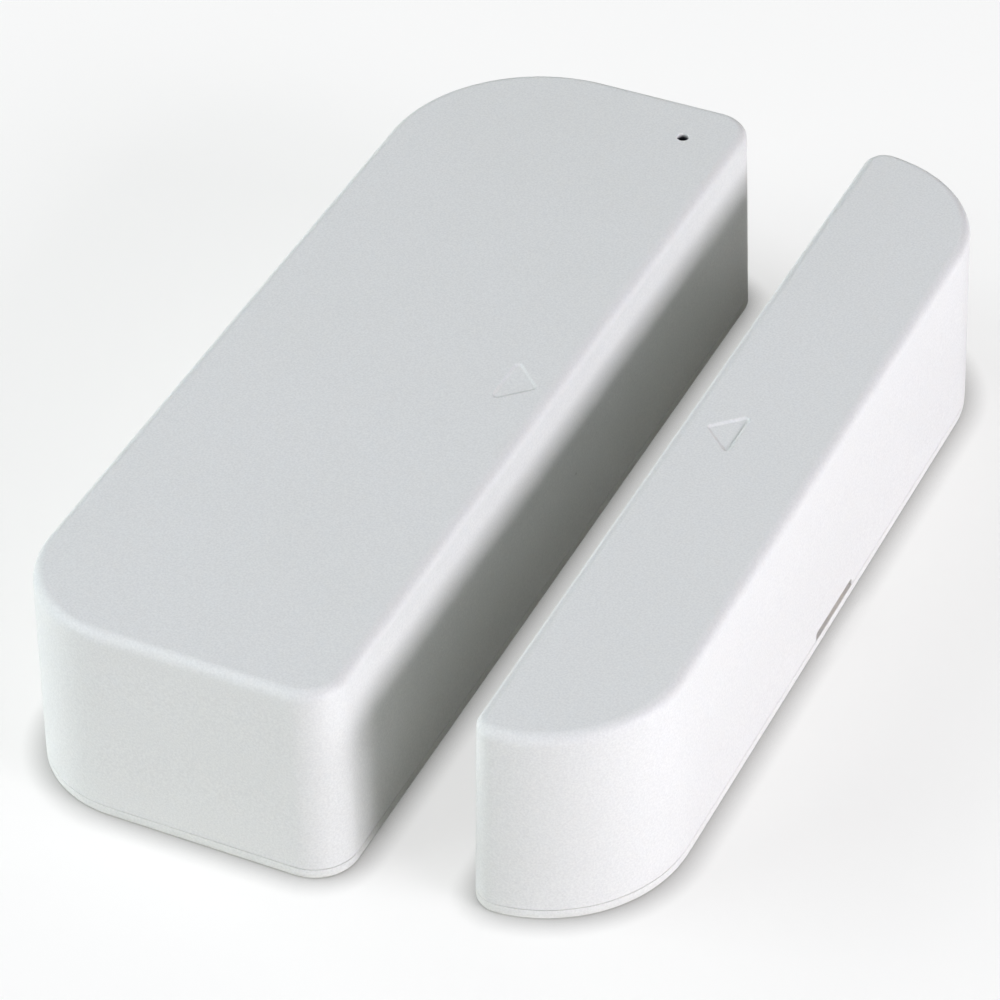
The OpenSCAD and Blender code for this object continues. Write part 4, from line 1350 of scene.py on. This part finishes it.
def small_chips():
    """Two-ended parts on pads; every third one has a cream body."""
    parts = []
    for i, (x, y) in enumerate(CHIPS):
        parts.append(paint(board_box(x, y, 0.38, 0.55, 0.04, 0.46, 0.04, 0.05, 2),
                           2 if i % 3 == 1 else 0))
        for side in (-1, 1):
            end = board_box(x, y + side * 0.65, 0.4, 0.15, 0.02, 0.47, 0.05, 0.06, 2)
            parts.append(paint(end, 1))
            parts.append(paint(pad(x, y + side * 0.85, 0.9, 0.5, 0.05), 1))
    add_piece("chip_parts", merge(*parts), ["chip_black", "solder", "button_plastic"],
              "chip_resistors")


# ------------------------------------------------------------------ tamper, learn switches
def button_case(name, x, y, half, height, hole, floor_z, node):
    """Black case with a metal top plate, a stepped bore, four pins and four rivets."""
    plate = 0.25

    def bore():
        profile = [(hole + 0.6, floor_z), (hole + 0.6, height - 0.7),
                   (hole, height - 0.69), (hole, height + 1)]
        return [turned(profile, 40, x, y, BOARD_TOP)]

    case = board_box(x, y, half, half, 0.02, height - plate - 0.01, 0.12, 0.3)
    lid = board_box(x, y, half - 0.05, half - 0.05, height - plate, height, 0.06, 0.35)
    parts = [carved(case, bore()), paint(carved(lid, bore()), 1)]
    corners = [(sx, sy) for sx in (-1, 1) for sy in (-1, 1)]
    for sx, sy in corners:
        pin = board_box(x + sx * (half + 0.12), y + sy * half * 0.72, 0.2, 0.3,
                        0.02, 0.9, 0.05, 0.08, 2)
        parts.append(paint(pin, 1))
    rivet = [(0.32, height - 0.02), (0.32, height + 0.06), (0.22, height + 0.12),
             (0, height + 0.13)]
    parts += [lathe(rivet, 16, (x + sx * half * 0.74, y + sy * half * 0.74, BOARD_TOP))
              for sx, sy in corners]
    add_piece(name, merge(*parts), ["black_plastic", "shield_metal"], node)


def switches():
    button_case("tamper_case", *TAMPER, half=3.0, height=3.5, hole=1.66, floor_z=0.8,
                node="tamper_switch_body")
    flange = [(0, 1.1), (2.0, 1.1), (2.1, 1.2), (2.1, 1.9), (2.0, 2.0), (1.6, 2.0)]
    stem = [(1.6, 13.2), (1.5, 13.3), (1.5, 16.7), (1.42, 16.9), (1.2, 17.0), (0, 17.0)]
    pin = [(radius, BOARD_TOP + z) for radius, z in flange] + stem
    add_piece("tamper_pin", lathe(pin, 44, (*TAMPER, 0)), "chip_black", "tamper_plunger",
              "tamper")
    button_case("learn_case", *LEARN, half=2.3, height=2.0, hole=1.26, floor_z=0.45,
                node="learn_button_body")
    cap = [(0, 0.8), (1.1, 0.8), (1.2, 0.9), (1.2, 3.35), (1.12, 3.53), (0.95, 3.6),
           (0.5, 3.57), (0, 3.55)]
    add_piece("learn_cap", lathe(cap, 40, (*LEARN, BOARD_TOP)), "button_plastic",
              "learn_button_cap", "learn")


# ------------------------------------------------------------------ magnet, cradle and pad
def bar_box(margin_x, margin_y, z0, z1, edge, corner=None, steps=3):
    """Box round the bar magnet's footprint, larger by the margins."""
    half_x, half_y = BAR_WIDE / 2, BAR_LONG / 2
    return round_box((BAR_X - half_x - margin_x, MAGNET_Y - half_y - margin_y, z0),
                     (BAR_X + half_x + margin_x, MAGNET_Y + half_y + margin_y, z1),
                     edge, corner, steps)


def magnet():
    cradle = add_piece("magnet_cradle", bar_box(0.8, 1.2, 2.25, 8.85, 0.25, 0.6, 4),
                       "base_plastic", "magnet_carrier", "magnet_unit")
    tools = [solid(bar_box(0.05, 0.05, BAR_Z - 0.02, 20, 0.03))]
    tools += [slot_cutter((BAR_X - 2.4, MAGNET_Y + y, 1), (BAR_X + 2.4, MAGNET_Y + y + 8.6, 9),
                          0.8) for y in (-14, -4.5, 5)]
    tools.append(dip_cutter(BAR_X, MAGNET_Y, half=12, low=7.85, radius=1.0, steps=5))
    cut(cradle, tools)
    finish_mesh(cradle)
    top = BAR_Z + BAR_WIDE                    # the bar is square in section
    add_piece("magnet_bar", bar_box(0, 0, BAR_Z, top, 0.35, 0.45, 4), "ferrite",
              "bar_magnet", "magnet_unit")
    add_piece("magnet_pad", bar_box(-0.5, -4, top + 0.02, top + 1.32, 0.2, 0.4, 4),
              "dark_foam", "magnet_foam_pad", "magnet_unit")


for build in (sensor_cover, magnet_cover, sensor_plate, magnet_plate, tapes, battery_tray,
              cells, springs, contacts, circuit_board, board_tracks, board_print,
              board_solder, board_screws, reed_switch, indicator, controller, radio_shield,
              crystal, antenna, capacitor, small_chips, switches, magnet):
    build()


# ------------------------------------------------------------------ loaded pieces
def dress_loaded():
    """Gives every loaded piece the material of its own name's or its record's slot."""
    record = frame["record"]
    subparts = record.get("subparts", record.get("assembly", {}).get("subparts", []))
    slots = {part.get("node", part.get("name")): part.get("material_slot", part.get("slot"))
             for part in subparts}
    for name, item in frame["nodes"].items():
        held = [mat.name.split(".")[0] for mat in item.data.materials if mat]
        key = next((key for key in held if key in MATERIALS), None) or slots.get(name)
        item.data.materials.clear()
        item.data.materials.append(MATERIALS.get(key, MATERIALS["base_plastic"]))


dress_loaded()


# ------------------------------------------------------------------ floor
def footprint_mask(mat, position, middle, half, right_r, far_left_r, near_left_r):
    """1 inside a rounded rectangle on the floor, 0 outside."""
    node = mat.math
    offset = [node("SUBTRACT", position[i], middle[i] * MM) for i in (0, 1)]
    is_right, is_far = [node("GREATER_THAN", value, 0.0) for value in offset]
    left = node("ADD", node("MULTIPLY", is_far, (far_left_r - near_left_r) * MM),
                near_left_r * MM)
    radius = node("ADD", node("MULTIPLY", is_right, right_r * MM),
                  node("MULTIPLY", node("SUBTRACT", 1.0, is_right), left))
    squares = []
    for value, size in zip(offset, half):
        inset = node("SUBTRACT", node("ABSOLUTE", value, 0.0), size * MM)
        past = node("MAXIMUM", node("ADD", inset, radius), 0.0)
        squares.append(node("MULTIPLY", past, past))
    distance = node("SQRT", node("ADD", *squares), 0.0)
    return node("LESS_THAN", distance, radius)


def floor_material():
    """Paper white to the camera with soft shadows, and clear when seen from below."""
    mat = Material("floor_pale", Roughness=0.85, Specular_IOR_Level=0.1)
    mat.mottle((0.93, 0.915, 0.86), (0.925, 0.91, 0.855), scale=6)
    mat.ripple(depth=0.02, strength=0.2, scale=700, detail=3)
    rays = mat.node("LightPath").outputs

    # a glow for the camera, with a painted contact shadow that darkens it where the product
    # touches the floor
    glow = mat.node("Emission")
    glow.inputs["Color"].default_value = (0.97, 0.97, 0.97, 1)
    contact = mat.node("AmbientOcclusion")
    contact.samples = 6
    contact.inputs["Distance"].default_value = 2.6 * MM
    contact_shadow_fac = mat.remap(contact.outputs["AO"], (0.35, 1.0), (0.0, 1.0))
    mat.link(mat.mix(contact_shadow_fac, (0.22, 0.22, 0.22), (0.99, 0.99, 0.99)), glow.inputs["Color"])
    surface = mat.node("MixShader")
    glow_share = 0.68
    mat.link(mat.math("MULTIPLY", rays["Is Camera Ray"], glow_share), surface.inputs[0])
    mat.link(mat.shader.outputs[0], surface.inputs[1])
    mat.link(glow.outputs[0], surface.inputs[2])

    # light from beneath reaches the undersides only, through the two footprints
    geometry = mat.node("NewGeometry").outputs
    position = mat.separate(geometry["Position"])
    margin = 0.26
    sensor = footprint_mask(
        mat, position, (0, 0), (SENSOR_WIDE / 2 + margin, SENSOR_LONG / 2 + margin),
        right_r=4.0, far_left_r=16.3, near_left_r=10.7)
    magnet_unit = footprint_mask(
        mat, position, (MAGNET_LEFT + MAGNET_WIDE / 2, MAGNET_Y),
        (MAGNET_WIDE / 2 + margin, MAGNET_LONG / 2 + margin),
        right_r=13.4, far_left_r=2.3, near_left_r=2.3)
    footprints = mat.math("MAXIMUM", sensor, magnet_unit)
    clear_where = mat.math("MAXIMUM", geometry["Backfacing"],
                           mat.math("MULTIPLY", rays["Is Shadow Ray"], footprints))
    final = mat.node("MixShader")
    mat.link(clear_where, final.inputs[0])
    mat.link(surface.outputs[0], final.inputs[1])
    mat.link(mat.node("BsdfTransparent").outputs[0], final.inputs[2])
    mat.link(final.outputs[0], mat.tree.nodes["Material Output"].inputs["Surface"])
    return mat.material


def add_floor():
    half, z = 2500, -0.05
    material = floor_material()
    item = new_object("floor", [(-half, -half, z), (half, -half, z), (half, half, z),
                                (-half, half, z)], [(0, 1, 2, 3)])
    item.data.materials.append(material)


add_floor()

# ------------------------------------------------------------------ lights, metres
TARGET = (0.01, 0.0, 0.01)


def area_light(name, at, size, power, colour):
    """Square panel facing the target."""
    light = bpy.data.lights.new(name, "AREA")
    light.energy = power
    light.color = colour
    light.shape = "RECTANGLE"
    light.size = size
    light.size_y = size
    item = bpy.data.objects.new(name, light)
    bpy.context.scene.collection.objects.link(item)
    item.location = at
    item.rotation_euler = (Vector(TARGET) - Vector(at)).to_track_quat("-Z", "Y").to_euler()


def around(azimuth, elevation, distance):
    """Place from two angles in degrees; azimuth 0 is +x and 90 is +y."""
    turn, rise = math.radians(azimuth), math.radians(elevation)
    return (distance * math.cos(rise) * math.cos(turn),
            distance * math.cos(rise) * math.sin(turn), distance * math.sin(rise))


# a low soft key on the right in three panels, two large panels on the left, weak fill near
# and far: name, azimuth, elevation, distance, size, watts, colour
LIGHTS = (
    ("key_a", 0, 22, 0.9, 0.28, 3.47, (0.918, 0.905, 1.0)),
    ("key_b", -15, 22, 0.9, 0.28, 4.57, (0.918, 0.905, 1.0)),
    ("key_c", -35, 22, 0.9, 0.28, 0.25, (0.918, 0.93, 1.0)),
    ("left_a", 180, 30, 1.0, 0.6, 4.44, (0.882, 0.943, 1.0)),
    ("left_b", -145, 35, 1.0, 0.6, 7.28, (0.882, 0.943, 1.0)),
    ("front", -100, 25, 1.0, 0.6, 0.34, (0.88, 0.90, 1.0)),
    ("back", 90, 35, 1.0, 0.6, 0.78, (1.0, 0.99, 0.92)),
)
for name, azimuth, elevation, distance, *values in LIGHTS:
    area_light(name, around(azimuth, elevation, distance), *values)
area_light("under", (0.01, 0.0, -0.9), size=0.9, power=4.6, colour=(0.90, 0.945, 1.0))


# ------------------------------------------------------------------ world and camera
def add_world(scene):
    """White to the camera, but hardly any light on the product."""
    ambient, extra_for_camera = 0.02, 0.86
    world = bpy.data.worlds.new("studio")
    world.use_nodes = True
    tree = world.node_tree
    background = tree.nodes["Background"]
    background.inputs["Color"].default_value = (1, 1, 1, 1)
    rays = tree.nodes.new("ShaderNodeLightPath")
    strength = tree.nodes.new("ShaderNodeMath")
    strength.operation = "MULTIPLY_ADD"
    tree.links.new(rays.outputs["Is Camera Ray"], strength.inputs[0])
    strength.inputs[1].default_value = extra_for_camera
    strength.inputs[2].default_value = ambient
    tree.links.new(strength.outputs[0], background.inputs["Strength"])
    scene.world = world


def add_camera(scene):
    """Looks down from the near right; the three axes are unit vectors."""
    camera = bpy.data.cameras.new("camera")
    camera.lens = 159.07
    camera.sensor_width = 36
    camera.clip_start = 0.01
    camera.clip_end = 20
    item = bpy.data.objects.new("camera", camera)
    scene.collection.objects.link(item)
    right = Vector((0.904516691, 0.426103890, -0.016882861))
    down = Vector((0.259705505, -0.581830205, -0.770731253))
    forward = Vector((-0.338234543, 0.692754710, -0.636936657))
    matrix = Matrix((right, -down, -forward)).transposed().to_4x4()
    matrix.translation = Vector((0.151420, -0.289487, 0.271917))
    item.matrix_world = matrix
    scene.camera = item


scene = bpy.context.scene
add_world(scene)
scene.view_settings.view_transform = "Standard"
scene.view_settings.look = "None"
add_camera(scene)

# ------------------------------------------------------------------ final update
bpy.context.view_layer.update()
